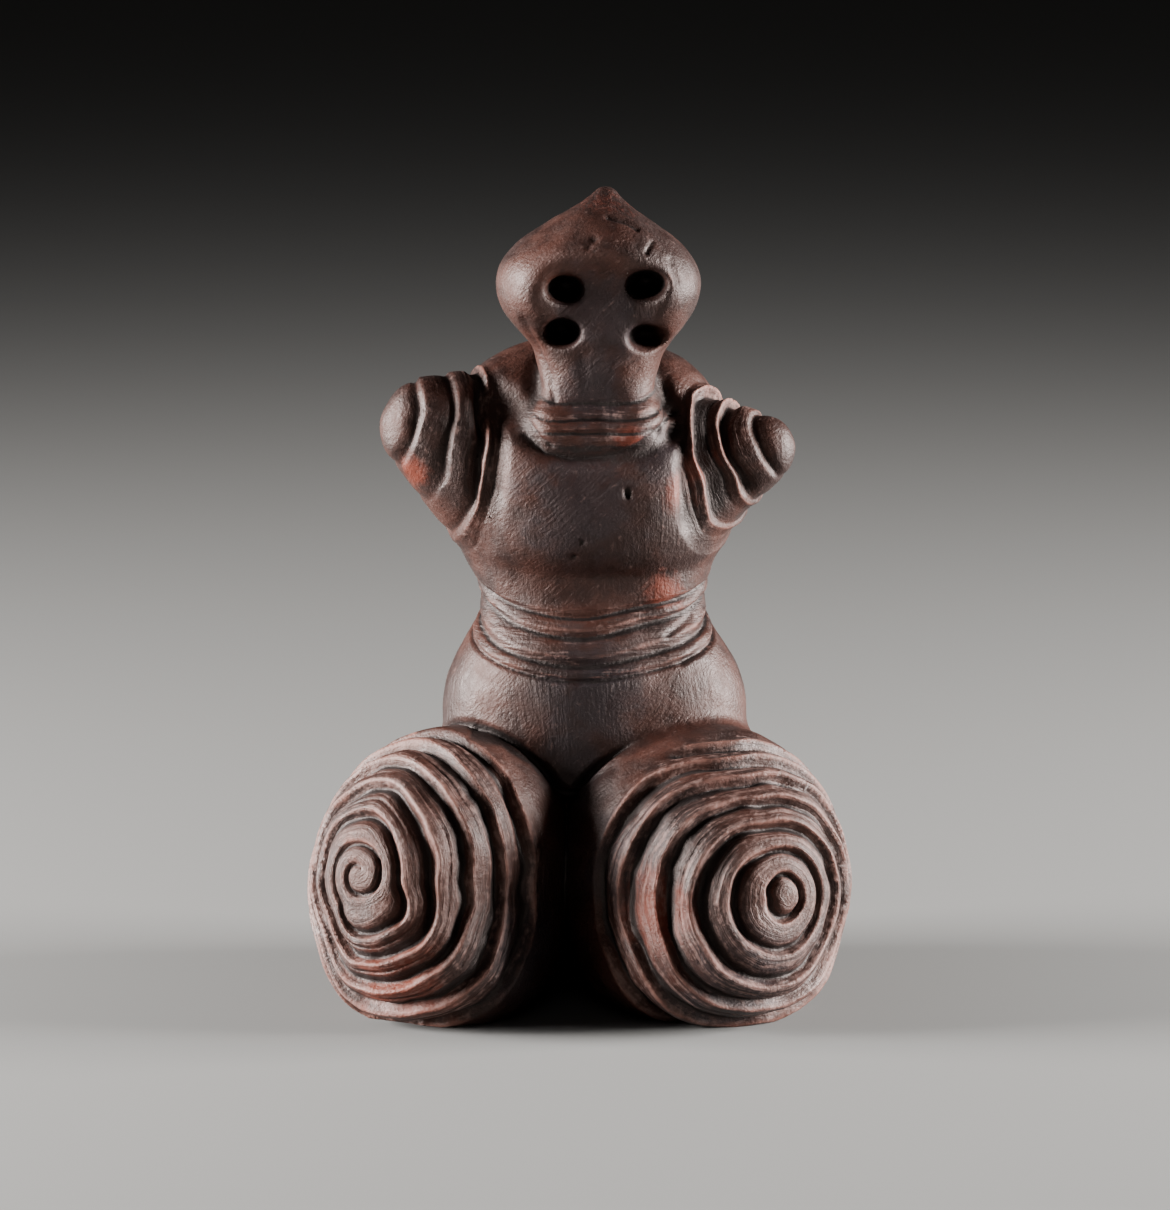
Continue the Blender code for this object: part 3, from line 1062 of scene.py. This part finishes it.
    def add_folds(self, marks: Marks, points: Array) -> None:
        """Adds the folds round the waist and the collar, and marks level lines there.

        Args:
            marks: the marks to add to.
            points: the clay's points.
        """
        sideways, forward, height = (points / MM).T
        sway = unevenness(self.fold_sway, points)
        strength = 1 + unevenness(self.fold_strength, points)
        waist_height, collar_height = (height - rise * forward + sway for rise in self.fold_rises)
        at_waist = Edge.WAIST_FOOT.share(waist_height) - Edge.WAIST_TOP.share(waist_height)
        at_collar = Edge.COLLAR_FOOT.share(collar_height) - Edge.COLLAR_TOP.share(collar_height)
        off_torso = (self.head.distance(points) - self.torso.distance(points)) / MM
        on_head = Edge.HEAD_OFF_TORSO.share(off_torso)
        waist_turns = np.interp(waist_height, self.waist_folds, range(len(self.waist_folds)))
        collar_turns = collar_height / self.collar_fold_pitch
        waist_depth, collar_depth = self.fold_depths
        scoop = Scoop(wall=self.fold_wall)
        for turns, here, depth in (
            (waist_turns, at_waist * strength, waist_depth),
            (collar_turns, at_collar * on_head * strength, collar_depth),
        ):
            marks.depth += scoop.depth(turns) * here * depth * MM
            # Painted shade down each fold.
            marks.darken(scoop.grime(turns) * here)
            # Wear on each fold's crest, with a painted highlight.
            marks.rub(self.fold_wear * scoop.wear(turns) * here)
        on_collar = on_head * Edge.COLLAR_LINES_TOP.share(height)
        on_collar *= Edge.COLLAR_LINES_RIGHT.share(sideways)
        marks.lined = np.clip(at_waist + on_collar, 0, 1)

    def add_creases(self, marks: Marks, points: Array) -> None:
        """Adds the creases and scratches, and paints shade into them and into the cleft and the
        pokes.

        Args:
            marks: the marks to add to.
            points: the clay's points.
        """
        sideways, forward, height = (points / MM).T
        torso = self.torso.distance(points)
        lap_depth, lap_width = self.lap_crease
        neck_depth, neck_width = self.neck_crease
        off_thighs = (torso - self.seat.thighs_distance(points)) / MM
        lap = np.exp(-((off_thighs / lap_width) ** 2))
        lap *= Edge.LAP_BACK.share(forward) * Edge.LAP_RIGHT.share(sideways)
        off_head = (torso - self.head.distance(points)) / MM
        neck = np.exp(-((off_head / neck_width) ** 2))
        left, right = (self.seat.thighs[side].distance(points) / MM for side in Side)
        cleft = Edge.CLEFT.share(np.abs(left - right)) * Edge.CLEFT_TOP.share(height)
        marks.depth = np.maximum(marks.depth, (lap * lap_depth + neck * neck_depth) * MM)
        # Painted shade in the creases, the cleft and the pokes.
        marks.darken(np.clip(lap + 0.6 * neck + cleft, 0, 1))
        marks.darken(Edge.POKE.share(self.unpoked_distance(points) / MM))
        for scratch in self.scratches:
            depths = scratch.depths(points)
            marks.depth += depths * MM
            # Painted shade in each scratch.
            marks.darken(np.clip(depths, 0, 1))

    def marks(self, points: Array) -> Marks:
        """All that the tools and the hands left.

        Args:
            points: the clay's points.

        Returns:
            The marks at each point.
        """
        marks = Marks(*(np.zeros(len(points)) for _ in fields(Marks)))
        self.add_ring_marks(marks, points)
        self.add_folds(marks, points)
        self.add_creases(marks, points)
        marks.depth += MM * unevenness(self.dents, points)
        marks.rusty = np.max([stain.share(points) for stain in self.rust], axis=0)
        # Smoke smudges, and painted shade on the unlit middle of the front.
        marks.smudged_and_shaded = np.max([stain.share(points) for stain in self.smudges], axis=0)
        return marks

    def skin(self) -> bpy.types.Object:
        """Fuses the clay into one skin of even faces, with the pokes cut into it.

        Returns:
            The skin, still uncarved.
        """
        clay = [*self.seat.lumps(), *self.torso.lumps(), *self.head.lumps()]
        figure = join([lump.add() for lump in clay])
        apply_modifier(figure, "REMESH", mode="VOXEL", voxel_size=SKIN_STEP * 1.5)
        pokes = join([poke.add() for poke in self.head.pokes])
        apply_modifier(figure, "BOOLEAN", object=pokes, operation="DIFFERENCE", solver="EXACT")
        bpy.data.objects.remove(pokes)
        apply_modifier(figure, "REMESH", mode="VOXEL", voxel_size=SKIN_STEP)
        return figure

    def build(self) -> bpy.types.Object:
        """Models the figure.

        Returns:
            The finished piece, with its tool marks kept as attributes.
        """
        figure = self.skin()
        figure.name = figure.data.name = "fired_clay_figure"
        points, outward = settle(read_rows(figure.data.vertices, "co", 3), self.distance)
        marks = self.marks(points)
        carved = points - outward * marks.depth[:, None]
        set_points(figure.data, carved)
        triangles = sum(len(face.vertices) - 2 for face in figure.data.polygons)
        log.info("carved skin: %d points, %d triangles", len(points), triangles)
        ratio = min(1.0, MOST_TRIANGLES / triangles)
        apply_modifier(figure, "DECIMATE", ratio=ratio, use_collapse_triangulate=True)
        self.keep_marks(figure.data, carved, marks)
        self.cut_underside(figure)
        self.keep_curvature(figure.data)
        self.set_on_footprint(figure)
        bpy.ops.object.shade_smooth()
        return figure

    @staticmethod
    def keep_marks(mesh: bpy.types.Mesh, carved: Array, marks: Marks) -> None:
        """Gives each of the mesh's points the marks of the nearest carved point.

        Args:
            mesh: the mesh whose attributes the finish will read.
            carved: the points that were marked.
            marks: their marks.
        """
        tree = KDTree(len(carved))
        for index, point in enumerate(carved):
            tree.insert(point, index)
        tree.balance()
        nearest = np.array([tree.find(vertex.co)[1] for vertex in mesh.vertices])
        for name, value in marks.kept().items():
            mesh.attributes.new(name, "FLOAT", "POINT").data.foreach_set("value", value[nearest])

    @staticmethod
    def keep_curvature(mesh: bpy.types.Mesh) -> None:
        """Keeps how sharply the surface is rounded, above 0 on ridges, as an attribute.

        Args:
            mesh: the mesh to measure and to give the attribute.
        """
        points = read_rows(mesh.vertices, "co", 3) / MM
        normals = read_rows(mesh.vertices, "normal", 3)
        first, second = read_rows(mesh.edges, "vertices", 2, int).T
        lines = points[second] - points[first]
        lengths_2 = (lines**2).sum(axis=1) + TINY
        total, count = np.zeros(len(points)), np.zeros(len(points))
        for here, line in ((first, lines), (second, -lines)):
            np.add.at(total, here, -2 * (line * normals[here]).sum(axis=1) / lengths_2)
            np.add.at(count, here, 1)
        curvature = total / np.maximum(count, 1)
        for _ in range(2):
            total = curvature * count
            np.add.at(total, first, curvature[second])
            np.add.at(total, second, curvature[first])
            curvature = total / np.maximum(2 * count, 1)
        mesh.attributes.new("curvature", "FLOAT", "POINT").data.foreach_set("value", curvature)

    @staticmethod
    def cut_underside(figure: bpy.types.Object) -> None:
        """Cuts the clay flat at the ground and closes the cut.

        Args:
            figure: the piece to cut.
        """
        deselect_all()
        figure.select_set(True)
        bpy.context.view_layer.objects.active = figure
        bpy.ops.object.mode_set(mode="EDIT")
        bpy.ops.mesh.select_all(action="SELECT")
        bpy.ops.mesh.bisect(
            plane_co=(0, 0, 0), plane_no=(0, 0, 1), use_fill=True, clear_inner=True
        )
        bpy.ops.mesh.select_all(action="SELECT")
        bpy.ops.mesh.quads_convert_to_tris()
        bpy.ops.object.mode_set(mode="OBJECT")

    @staticmethod
    def set_on_footprint(figure: bpy.types.Object) -> None:
        """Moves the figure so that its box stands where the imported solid's does.

        Args:
            figure: the piece to move.
        """
        points = read_rows(figure.data.vertices, "co", 3)
        low, high = points.min(axis=0), points.max(axis=0)
        middle = (np.array(NODE_LOW) + np.array(NODE_HIGH)) / 2
        shift = middle - (low + high) / 2
        shift[2] = NODE_LOW[2] - low[2]
        set_points(figure.data, points + shift)


def linear(code: str) -> Numbers:
    """Turns an sRGB hex colour into the linear one that shaders take.

    Args:
        code: six hex digits after a #.

    Returns:
        Red, green, blue and an alpha of 1.
    """
    shares = [int(code[start : start + 2], 16) / 255 for start in (1, 3, 5)]
    return *(s / 12.92 if s <= 0.04045 else ((s + 0.055) / 1.055) ** 2.4 for s in shares), 1.0


Inputs = dict[Union[str, int], Any]


def feed(node: bpy.types.Node, inputs: Inputs) -> None:
    """Gives a node's input sockets their values and links.

    Args:
        node: the node.
        inputs: for each input socket, a value or the output socket that feeds it.
    """
    for socket, source in inputs.items():
        if isinstance(source, bpy.types.NodeSocket):
            node.id_data.links.new(source, node.inputs[socket])
        else:
            node.inputs[socket].default_value = source


def add_node(
    tree: bpy.types.NodeTree,
    kind: str,
    inputs: Inputs,
    output: Union[str, int] = 0,
    **settings: Any,
) -> bpy.types.NodeSocket:
    """Adds a node with its settings, values and links.

    Args:
        tree: the material's node tree.
        kind: the node's type in Blender, without the words ShaderNode before it.
        inputs: for each input socket, a value or the output socket that feeds it.
        output: the output socket that is wanted.
        settings: the node's own properties.

    Returns:
        That output socket.
    """
    node = tree.nodes.new("ShaderNode" + kind)
    for name, value in settings.items():
        setattr(node, name, value)
    feed(node, inputs)
    return node.outputs[output]


@dataclass(frozen=True)
class BurnishedClay:
    """Fired clay, burnished by hand before firing.

    Iron-rich clay fired in smoke: brown to near black to the eye, with a low waxy gloss and fine
    lines where it was rubbed, matt soot in the low lines, painted shade in the grooves and on the
    unlit middle of the front, and ridges pale and dusty with wear and with a painted highlight.

    Args:
        smoked: the smoked skin. All colours are sRGB.
        brown: the skin where less smoke reached it.
        worn_and_highlit: the crests that hands have rubbed, paler also as a painted highlight.
        rust: the clay's own red, rubbed bare.
        smudge: the thickest smoke, and painted shade on the front's unlit middle.
        dust: dust that clings to the tool's lines, and the painted highlight of their glossy
            streaks.
        soot: it fills grooves and pits.
        sheen: the tint of the gloss.
        roughness: where the skin is rubbed.
        dull_roughness: where its gloss has gone.
        refraction: the index of its waxy surface.
        patch_mm: the size of the fire's patches.
        mottle_mm: that of the stains of handling.
        speckle_mm: that of the coarse grains.
        grit_mm: that of the sand, drawn coarser than its real 0.2 mm, which is too fine to show.
        stroke_mm: the tool's lines, for the same reason further apart than their real 0.3 mm.
        relief_mm: how high lines and grains stand.
    """

    smoked: str = "#1d0e0b"
    brown: str = "#331810"
    worn_and_highlit: str = "#744e44"
    rust: str = "#622615"
    smudge: str = "#131116"
    dust: str = "#7c615a"
    soot: str = "#080404"
    sheen: str = "#f3ddd5"
    roughness: float = 0.44
    dull_roughness: float = 0.64
    refraction: float = 1.45
    patch_mm: float = 20.0
    mottle_mm: float = 4.5
    speckle_mm: float = 1.3
    grit_mm: float = 0.55
    stroke_mm: float = 0.75
    relief_mm: float = 0.30

    def signals(self, tree: bpy.types.NodeTree) -> dict[str, bpy.types.NodeSocket]:
        """Adds what decides where each colour goes: the kept marks, the patterns and the strokes.

        Args:
            tree: the material's node tree.

        Returns:
            The output socket of each, by name.
        """
        place = add_node(tree, "TexCoord", {}, "Object")
        signals = {}
        for name in (*KEPT_MARKS, "ring_cosine", "ring_sine", "curvature"):
            signals[name] = add_node(tree, "Attribute", {}, "Fac", attribute_name=name)
        # Each pattern's name, its size, its detail, how it is drawn out along X, Y and Z, its slant
        # in degrees, and how far its lines bend.
        for name, size_mm, detail, stretch, slant, bend in (
            ("patches", self.patch_mm, 3.0, (1, 1, 1), 0, 0.0),
            ("mottle", self.mottle_mm, 4.0, (1, 1, 1), 0, 0.0),
            ("speckle", self.speckle_mm, 3.0, (1, 1, 1), 0, 0.0),
            ("grit", self.grit_mm, 3.0, (1, 1, 1), 0, 0.0),
            ("upright", self.stroke_mm, 3.0, (1, 1, 11), -5, 0.15),
            ("slanted", self.stroke_mm, 3.0, (1, 1, 10), 48, 0.15),
            ("level", self.stroke_mm, 3.0, (11, 11, 1), 0, 0.15),
        ):
            inputs = {"Vector": place, "Rotation": (0, math.radians(slant), 0), "Scale": stretch}
            turned = add_node(tree, "Mapping", inputs, vector_type="TEXTURE")
            scale = 1 / (size_mm * MM)
            inputs = {"Vector": turned, "Scale": scale, "Detail": detail, "Roughness": 0.6}
            signals[name] = add_node(tree, "TexNoise", {**inputs, "Distortion": bend})

        # The burnishing tool's fine lines follow the rings, run level on the collar and the waist,
        # and are fainter, upright or slanted, elsewhere. On the rings the pattern is read round a
        # circle once from groove to groove, and changes slowly along them.
        slide = 0.06 / MM
        along = add_node(
            tree, "VectorMath", {0: place, 1: (slide, 0, slide)}, "Value", operation="DOT_PRODUCT"
        )
        inputs = {0: signals["ring_cosine"], 1: signals["ring_sine"], 2: along}
        round_ring = add_node(tree, "CombineXYZ", inputs)
        inputs = {"Vector": round_ring, "Scale": 1.4, "Detail": 4.0, "Roughness": 0.65}
        following = add_node(tree, "TexNoise", inputs)
        inputs = {"Value": signals["patches"], "From Min": 0.44, "From Max": 0.54}
        slanting = add_node(tree, "MapRange", inputs)
        # Each row lays one pattern over another by a share, and what was laid before stands for
        # None. The second row flattens the strokes towards 0.5, the pattern's middle.
        strokes = None
        for share, under, over in (
            (slanting, signals["upright"], signals["slanted"]),
            (0.6, 0.5, None),
            (signals["lined"], None, signals["level"]),
            (signals["ringed"], None, following),
        ):
            inputs = {0: share, 2: under or strokes, 3: over or strokes}
            strokes = add_node(tree, "Mix", inputs, data_type="FLOAT")
        return {**signals, "strokes": strokes}

    def colour(
        self, tree: bpy.types.NodeTree, signals: dict[str, bpy.types.NodeSocket]
    ) -> bpy.types.NodeSocket:
        """Adds the colours, one over the other.

        Args:
            tree: the material's node tree.
            signals: what decides where each goes.

        Returns:
            The colour's output socket.
        """
        colour = linear(self.smoked)
        # Each colour comes in as the weighted sum of its signals rises from low to high, until it
        # covers the ones below it by the share called most.
        for code, weights, low, high, most in (
            (self.brown, {"patches": 1.0, "mottle": 0.4}, 0.60, 0.84, 1.0),
            # Smoke smudges, and painted shade on the unlit middle of the front.
            (self.smudge, {"smudged_and_shaded": 0.5, "mottle": 0.8, "strokes": 0.4}, 0.72, 1.05, 0.75),
            # Crests worn by hands and painted paler as a highlight, more where the surface curves
            # out.
            (self.worn_and_highlit, {"worn_and_highlit": 0.45, "curvature": 0.4, "mottle": 1.2}, 0.80, 1.60, 0.85),
            (self.rust, {"rusty": 0.6, "mottle": 0.7, "strokes": 0.6}, 0.84, 1.25, 0.75),
            # Dust in the tool's raised lines, and the painted highlight of their glossy streaks.
            (self.dust, {"strokes": 1.0, "speckle": 0.6, "ringed": 0.12}, 0.88, 1.16, 0.6),
            # Soot in the low lines of the tool's strokes.
            (self.soot, {"strokes": -1.0, "grit": -0.5, "worn_and_highlit": -0.1}, -0.74, -0.48, 0.6),
            # Painted shade in the grooves, creases, cleft, pokes and scratches, darker where the
            # surface curves in.
            (self.soot, {"hollow": 1.0, "curvature": -0.3, "speckle": 0.4}, 0.35, 1.0, 0.97),
        ):
            total = 0.0
            for name, weight in weights.items():
                inputs = {0: signals[name], 1: weight, 2: total}
                total = add_node(tree, "Math", inputs, operation="MULTIPLY_ADD")
            inputs = {"Value": total, "From Min": low, "From Max": high, "To Max": most}
            share = add_node(tree, "MapRange", inputs, interpolation_type="SMOOTHSTEP")
            inputs = {0: share, 6: colour, 7: linear(code)}
            colour = add_node(tree, "Mix", inputs, 2, data_type="RGBA")
        return colour

    def material(self) -> bpy.types.Material:
        """Builds the finish.

        Returns:
            The material.
        """
        made = bpy.data.materials.new("burnished_fired_clay")
        made.use_nodes = True
        tree = made.node_tree
        signals = self.signals(tree)
        inputs = {0: signals["grit"], 1: 0.45, 2: signals["strokes"]}
        height = add_node(tree, "Math", inputs, operation="MULTIPLY_ADD")
        inputs = {"Strength": 1.0, "Distance": self.relief_mm * MM, "Height": height}
        bump = add_node(tree, "Bump", inputs)
        inputs = {0: signals["speckle"], 1: 0.5, 2: signals["mottle"]}
        dulled = add_node(tree, "Math", inputs, operation="MULTIPLY_ADD")
        inputs = {"Value": dulled, "From Min": 0.55, "From Max": 0.95}
        inputs |= {"To Min": self.roughness, "To Max": self.dull_roughness}
        inputs = {
            "Base Color": self.colour(tree, signals),
            "Roughness": add_node(tree, "MapRange", inputs),
            "Normal": bump,
            "IOR": self.refraction,
            "Metallic": 0.0,
            "Specular Tint": linear(self.sheen),
        }
        feed(tree.nodes["Principled BSDF"], inputs)
        return made


@dataclass(frozen=True)
class Studio:
    """A pale floor under soft light from both sides, and the camera. Lengths are in metres.

    Args:
        camera_distance: from the lens to the figure's middle.
        elevation: how far above the level the camera looks from, in degrees.
        view_height: what the picture's height takes in at the figure.
        aim: the point in the middle of the picture.
        sensor_mm: the height of the camera's sensor.
        nearest: how near the camera starts to see.
        lights: each light's name, place, size and power in watts.
        light_aim: the point that they face.
        glow: the room's brightness and colour.
        floor_size: the length of the floor's side.
        paper: the colour and the roughness of its matt paper.
    """

    camera_distance: float = 0.9
    elevation: float = 9.0
    view_height: float = 0.2199
    aim: Numbers = (0.0009, 0.0, 0.0716)
    sensor_mm: float = 24
    nearest: float = 0.01
    lights: tuple[tuple[str, Numbers, float, float], ...] = (
        ("left_light", (-0.8, -0.06, 0.22), 0.35, 52.0),
        ("right_light", (0.8, -0.02, 0.20), 0.35, 48.0),
        ("front_light", (0.0, -1.1, 0.9), 0.8, 0.35),
    )
    light_aim: Numbers = (0, 0, 0.07)
    glow: tuple[float, str] = (0.035, "#dcdad8")
    floor_size: float = 30
    paper: tuple[str, float] = ("#6f6d6a", 0.85)

    def add_camera(self) -> None:
        """Adds the camera."""
        angle = math.radians(self.elevation)
        data = bpy.data.cameras.new("camera")
        data.sensor_fit = "VERTICAL"
        data.sensor_height = self.sensor_mm
        data.lens = self.sensor_mm * self.camera_distance / self.view_height
        data.clip_start = self.nearest
        camera = bpy.data.objects.new("camera", data)
        bpy.context.scene.collection.objects.link(camera)
        away = Vector((0, -math.cos(angle), math.sin(angle)))
        camera.location = Vector(self.aim) + away * self.camera_distance
        camera.rotation_euler = away.to_track_quat("Z", "Y").to_euler()
        bpy.context.scene.camera = camera

    def add_floor(self) -> None:
        """Adds the floor, of matt paper that gives the eye a quiet ground and a soft shadow."""
        deselect_all()
        bpy.ops.mesh.primitive_plane_add(size=self.floor_size, location=(0, 0, CAD_BOX[0][2]))
        floor = bpy.context.active_object
        floor.name = "floor"
        paper = bpy.data.materials.new("pale_paper")
        paper.use_nodes = True
        code, roughness = self.paper
        inputs = {"Base Color": linear(code), "Roughness": roughness}
        feed(paper.node_tree.nodes["Principled BSDF"], inputs)
        floor.data.materials.append(paper)

    def add_lights(self) -> None:
        """Adds a large soft light at each side, a weak one in front, and the room's glow."""
        for name, place, size, power in self.lights:
            data = bpy.data.lights.new(name, "AREA")
            data.size = size
            data.energy = power
            light = bpy.data.objects.new(name, data)
            bpy.context.scene.collection.objects.link(light)
            light.location = place
            aim = Vector(self.light_aim) - light.location
            light.rotation_euler = aim.to_track_quat("-Z", "Y").to_euler()
        world = bpy.data.worlds.new("studio")
        world.use_nodes = True
        strength, code = self.glow
        inputs = {"Color": linear(code), "Strength": strength}
        feed(world.node_tree.nodes["Background"], inputs)
        bpy.context.scene.world = world


LEFT_THIGH = Thigh(
    upper=Lump(
        (-25.2, -13.9, 25.0), (22.2, 27.6, 26.0), turn=(-5, 20, -27), exponent=2.12
    ),
    underside=Lump(
        (-24.6, -14.5, 13.5), (21.2, 28.5, 16.5), turn=(0, 0, -14), exponent=2.45, plan=2.3
    ),
    spiral=Spiral(
        (-39.0, -36.4, 28.4),
        facing=(-0.51, -0.86),
        starts=(1.3, 2.2, 4.5, 2.4, -0.9, -0.3, 1.1, 1.4),
        pitches=(4.4, 3.8, 4.7, 5.6, 5.7, 5.5, 5.5, 5.1),
        end=34.0,
        hook=(2.6, 3.6, 8.0),
    ),
)
RIGHT_THIGH = Thigh(
    upper=Lump((21.3, -11.7, 24.8), (24.9, 31.3, 25.8), turn=(0, -18, 28), exponent=2.2),
    underside=Lump(
        (21.4, -13.0, 13.5), (22.9, 31.0, 16.5), turn=(0, 0, 17), exponent=2.4, plan=2.3
    ),
    spiral=Spiral(
        (35.6, -38.8, 24.4),
        facing=(0.48, -0.87),
        starts=(2.3, 2.5, 2.8, 3.3, 3.8, 4.1, 4.3, 3.4),
        pitches=(6.4, 6.1, 5.5, 5.1, 4.8, 4.5, 4.5, 5.7),
        end=35.5,
    ),
)
SEAT = Seat(
    thighs={Side.LEFT: LEFT_THIGH, Side.RIGHT: RIGHT_THIGH},
    buttocks={
        Side.LEFT: Lump((-14.5, 14.0, 22.0), (22.0, 21.0, 26.0)),
        Side.RIGHT: Lump((17.5, 14.0, 22.0), (23.0, 21.0, 26.0)),
    },
)
LEFT_COIL = Coil(
    (-27.4, -6.0, 104.8), (-0.95, -0.31, 0.05), pitch=5.5, start=-4.6, knob=6.4, end=12.0
)
RIGHT_COIL = Coil(
    (32.8, -6.0, 100.6), (0.91, -0.41, 0.15), pitch=4.3, start=-1.3, knob=3.0, end=13.0
)
TORSO = Torso(
    belly=Lump((2.3, 2.0, 48.0), (27.9, 17.5, 21.5), exponent=2.9, plan=2.2),
    lap=Taper((-0.5, -4.0, 58.0), 17.0, (-0.8, -11.0, 43.0), 3.5, flatness=0.75),
    waist=Lump((2.1, 2.0, 72.0), (20.1, 14.0, 24.0), exponent=3.0, plan=2.4),
    chest=Lump((2.4, -0.5, 92.2), (21.5, 17.0, 15.5), exponent=3.1, plan=2.2),
    hump=Lump((1.5, 6.0, 103.2), (22.5, 11.0, 17.0)),
    arms={
        Side.LEFT: Taper((-8.0, 0.0, 96.2), 20.0, (-27.2, -6.0, 104.2), 9.3, flatness=0.72),
        Side.RIGHT: Taper((11.0, 0.0, 95.4), 19.1, (32.2, -6.0, 100.3), 6.5, flatness=0.72),
    },
    hollows={
        Side.LEFT: Lump((-15.2, -16.5, 110.5), (4.6, 8.5, 6.5), turn=(0, -12, 0)),
        Side.RIGHT: Lump((16.6, -15.0, 109.0), (1.8, 7.0, 6.5), turn=(0, -5, 0)),
    },
    coils={Side.LEFT: LEFT_COIL, Side.RIGHT: RIGHT_COIL},
)
HEAD = Head(
    collar=Lump((2.3, -5.0, 105.0), (14.8, 13.0, 8.6), turn=(14, 0, 0), exponent=2.5, plan=2.8),
    neck=Taper((2.6, -4.0, 106.0), 12.0, (2.9, -7.5, 116.0), 9.8, flatness=0.9),
    jaw=Taper((3.0, -7.5, 116.0), 9.8, (3.4, -9.0, 128.6), 14.0, flatness=0.84),
    skull=Lump((3.0, -9.0, 130.8), (18.0, 14.2, 10.3)),
    crown=Taper((3.3, -9.0, 134.0), 10.6, (4.3, -8.0, 145.3), 2.7, flatness=0.95),
    face_hollow=Lump((3.4, -30.0, 127.0), (15.0, 10.0, 11.0), exponent=2.5),
    face_outline=Lump((3.5, 0.0, 127.3), (13.2, 1000.0, 10.0), exponent=2.4),
    throat_outline=Lump((2.2, 0.0, 110.0), (7.2, 1000.0, 15.5), turn=(0, 5, 0), exponent=4.0),
    pokes=(
        Lump((-2.9, -20.0, 130.4), (3.3, 7.5, 2.5)),
        Lump((11.5, -20.0, 131.3), (3.8, 7.5, 2.8)),
        Lump((-3.5, -17.0, 122.4), (3.2, 7.5, 2.5)),
        Lump((11.7, -17.0, 121.6), (3.4, 7.5, 2.4)),
    ),
)
# Half width, depth and path of each line or nick.
SCRATCHES = (
    Scratch(0.8, 0.4, ((2.2, 139.6),)),
    Scratch(0.6, 0.3, ((1.2, 138.2),)),
    Scratch(0.4, 0.45, ((4.6, 143.1), (7.6, 142.3), (9.9, 140.9))),
    Scratch(0.35, 0.45, ((12.4, 138.6), (11.4, 137.0))),
    Scratch(0.6, 0.35, ((-10.4, 124.8), (-7.8, 119.4), (-5.7, 114.4), (-5.0, 110.5))),
    Scratch(0.5, 0.3, ((15.7, 135.6), (16.9, 131.6))),
    Scratch(0.7, 0.7, ((-19.4, 50.5), (-14.1, 48.7), (-8.8, 45.3), (-3.4, 39.5), (-1.2, 38.8))),
    Scratch(0.7, 0.35, ((-0.7, 40.6), (3.8, 43.3), (5.9, 44.4))),
    Scratch(0.6, 0.9, ((8.3, 94.2), (8.3, 93.4))),
    Scratch(0.5, 0.5, ((0.0, 84.7),)),
    Scratch(0.5, 0.5, ((-1.4, 81.9),)),
    Scratch(0.6, 0.5, ((15.3, 113.7), (15.9, 110.1), (15.7, 106.8), (14.8, 104.9))),
    Scratch(
        0.6,
        0.5,
        ((-10.6, 104.2), (-6.9, 100.9), (-1.6, 100.1), (3.8, 100.5), (9.1, 101.8), (14.8, 105.2)),
    ),
    Scratch(0.45, 0.35, ((-9.6, 106.1), (-7.8, 103.6), (-5.5, 102.3))),
    Scratch(0.6, 0.4, ((15.5, 67.0), (20.0, 70.0))),
    Scratch(0.6, 0.4, ((18.2, 62.0), (23.7, 65.9))),
)
RUST = (
    Stain((15.2, -11.5, 75.0), 5.0),
    Stain((8.3, -16.5, 103.7), 2.8),
    Stain((18.0, -14.0, 94.0), 4.5),
    Stain((14.0, -38.0, 22.0), 9.0),
    Stain((-32.0, -38.0, 9.0), 11.0),
    Stain((4.0, -8.0, 141.0), 7.0),
    Stain((-30.0, -10.0, 97.0), 4.0),
    Stain((21.0, -12.0, 98.0), 5.0),
)
# Smoke smudges, and painted shade on the unlit middle of the front: face, throat, chest, belly, lap
# and thighs.
SMUDGES_AND_SHADE = (
    Stain((3.0, -16.0, 126.0), 10.0),
    Stain((2.5, -15.0, 112.0), 8.5),
    Stain((14.0, -15.0, 100.5), 7.0),
    Stain((0.0, -17.5, 92.5), 13.0),
    Stain((2.0, -14.0, 58.0), 11.0),
    Stain((-1.6, -15.6, 44.5), 7.0),
    Stain((8.0, -32.0, 30.0), 12.0),
    Stain((-10.0, -33.0, 16.0), 12.0),
    Stain((26.0, -38.0, 8.0), 15.0),
)


def main() -> None:
    """Builds the figure, dresses it, and sets up the studio."""
    logging.basicConfig(level=logging.INFO, format="%(message)s")
    deselect_all()
    figure = Figurine(SEAT, TORSO, HEAD, SCRATCHES, RUST, SMUDGES_AND_SHADE).build()
    figure.data.materials.clear()
    figure.data.materials.append(BurnishedClay().material())
    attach(figure, "root")
    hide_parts(NODE)
    log.info("%s: %d faces", figure.name, len(figure.data.polygons))
    studio = Studio()
    studio.add_floor()
    studio.add_lights()
    studio.add_camera()


if __name__ == "__main__":
    main()
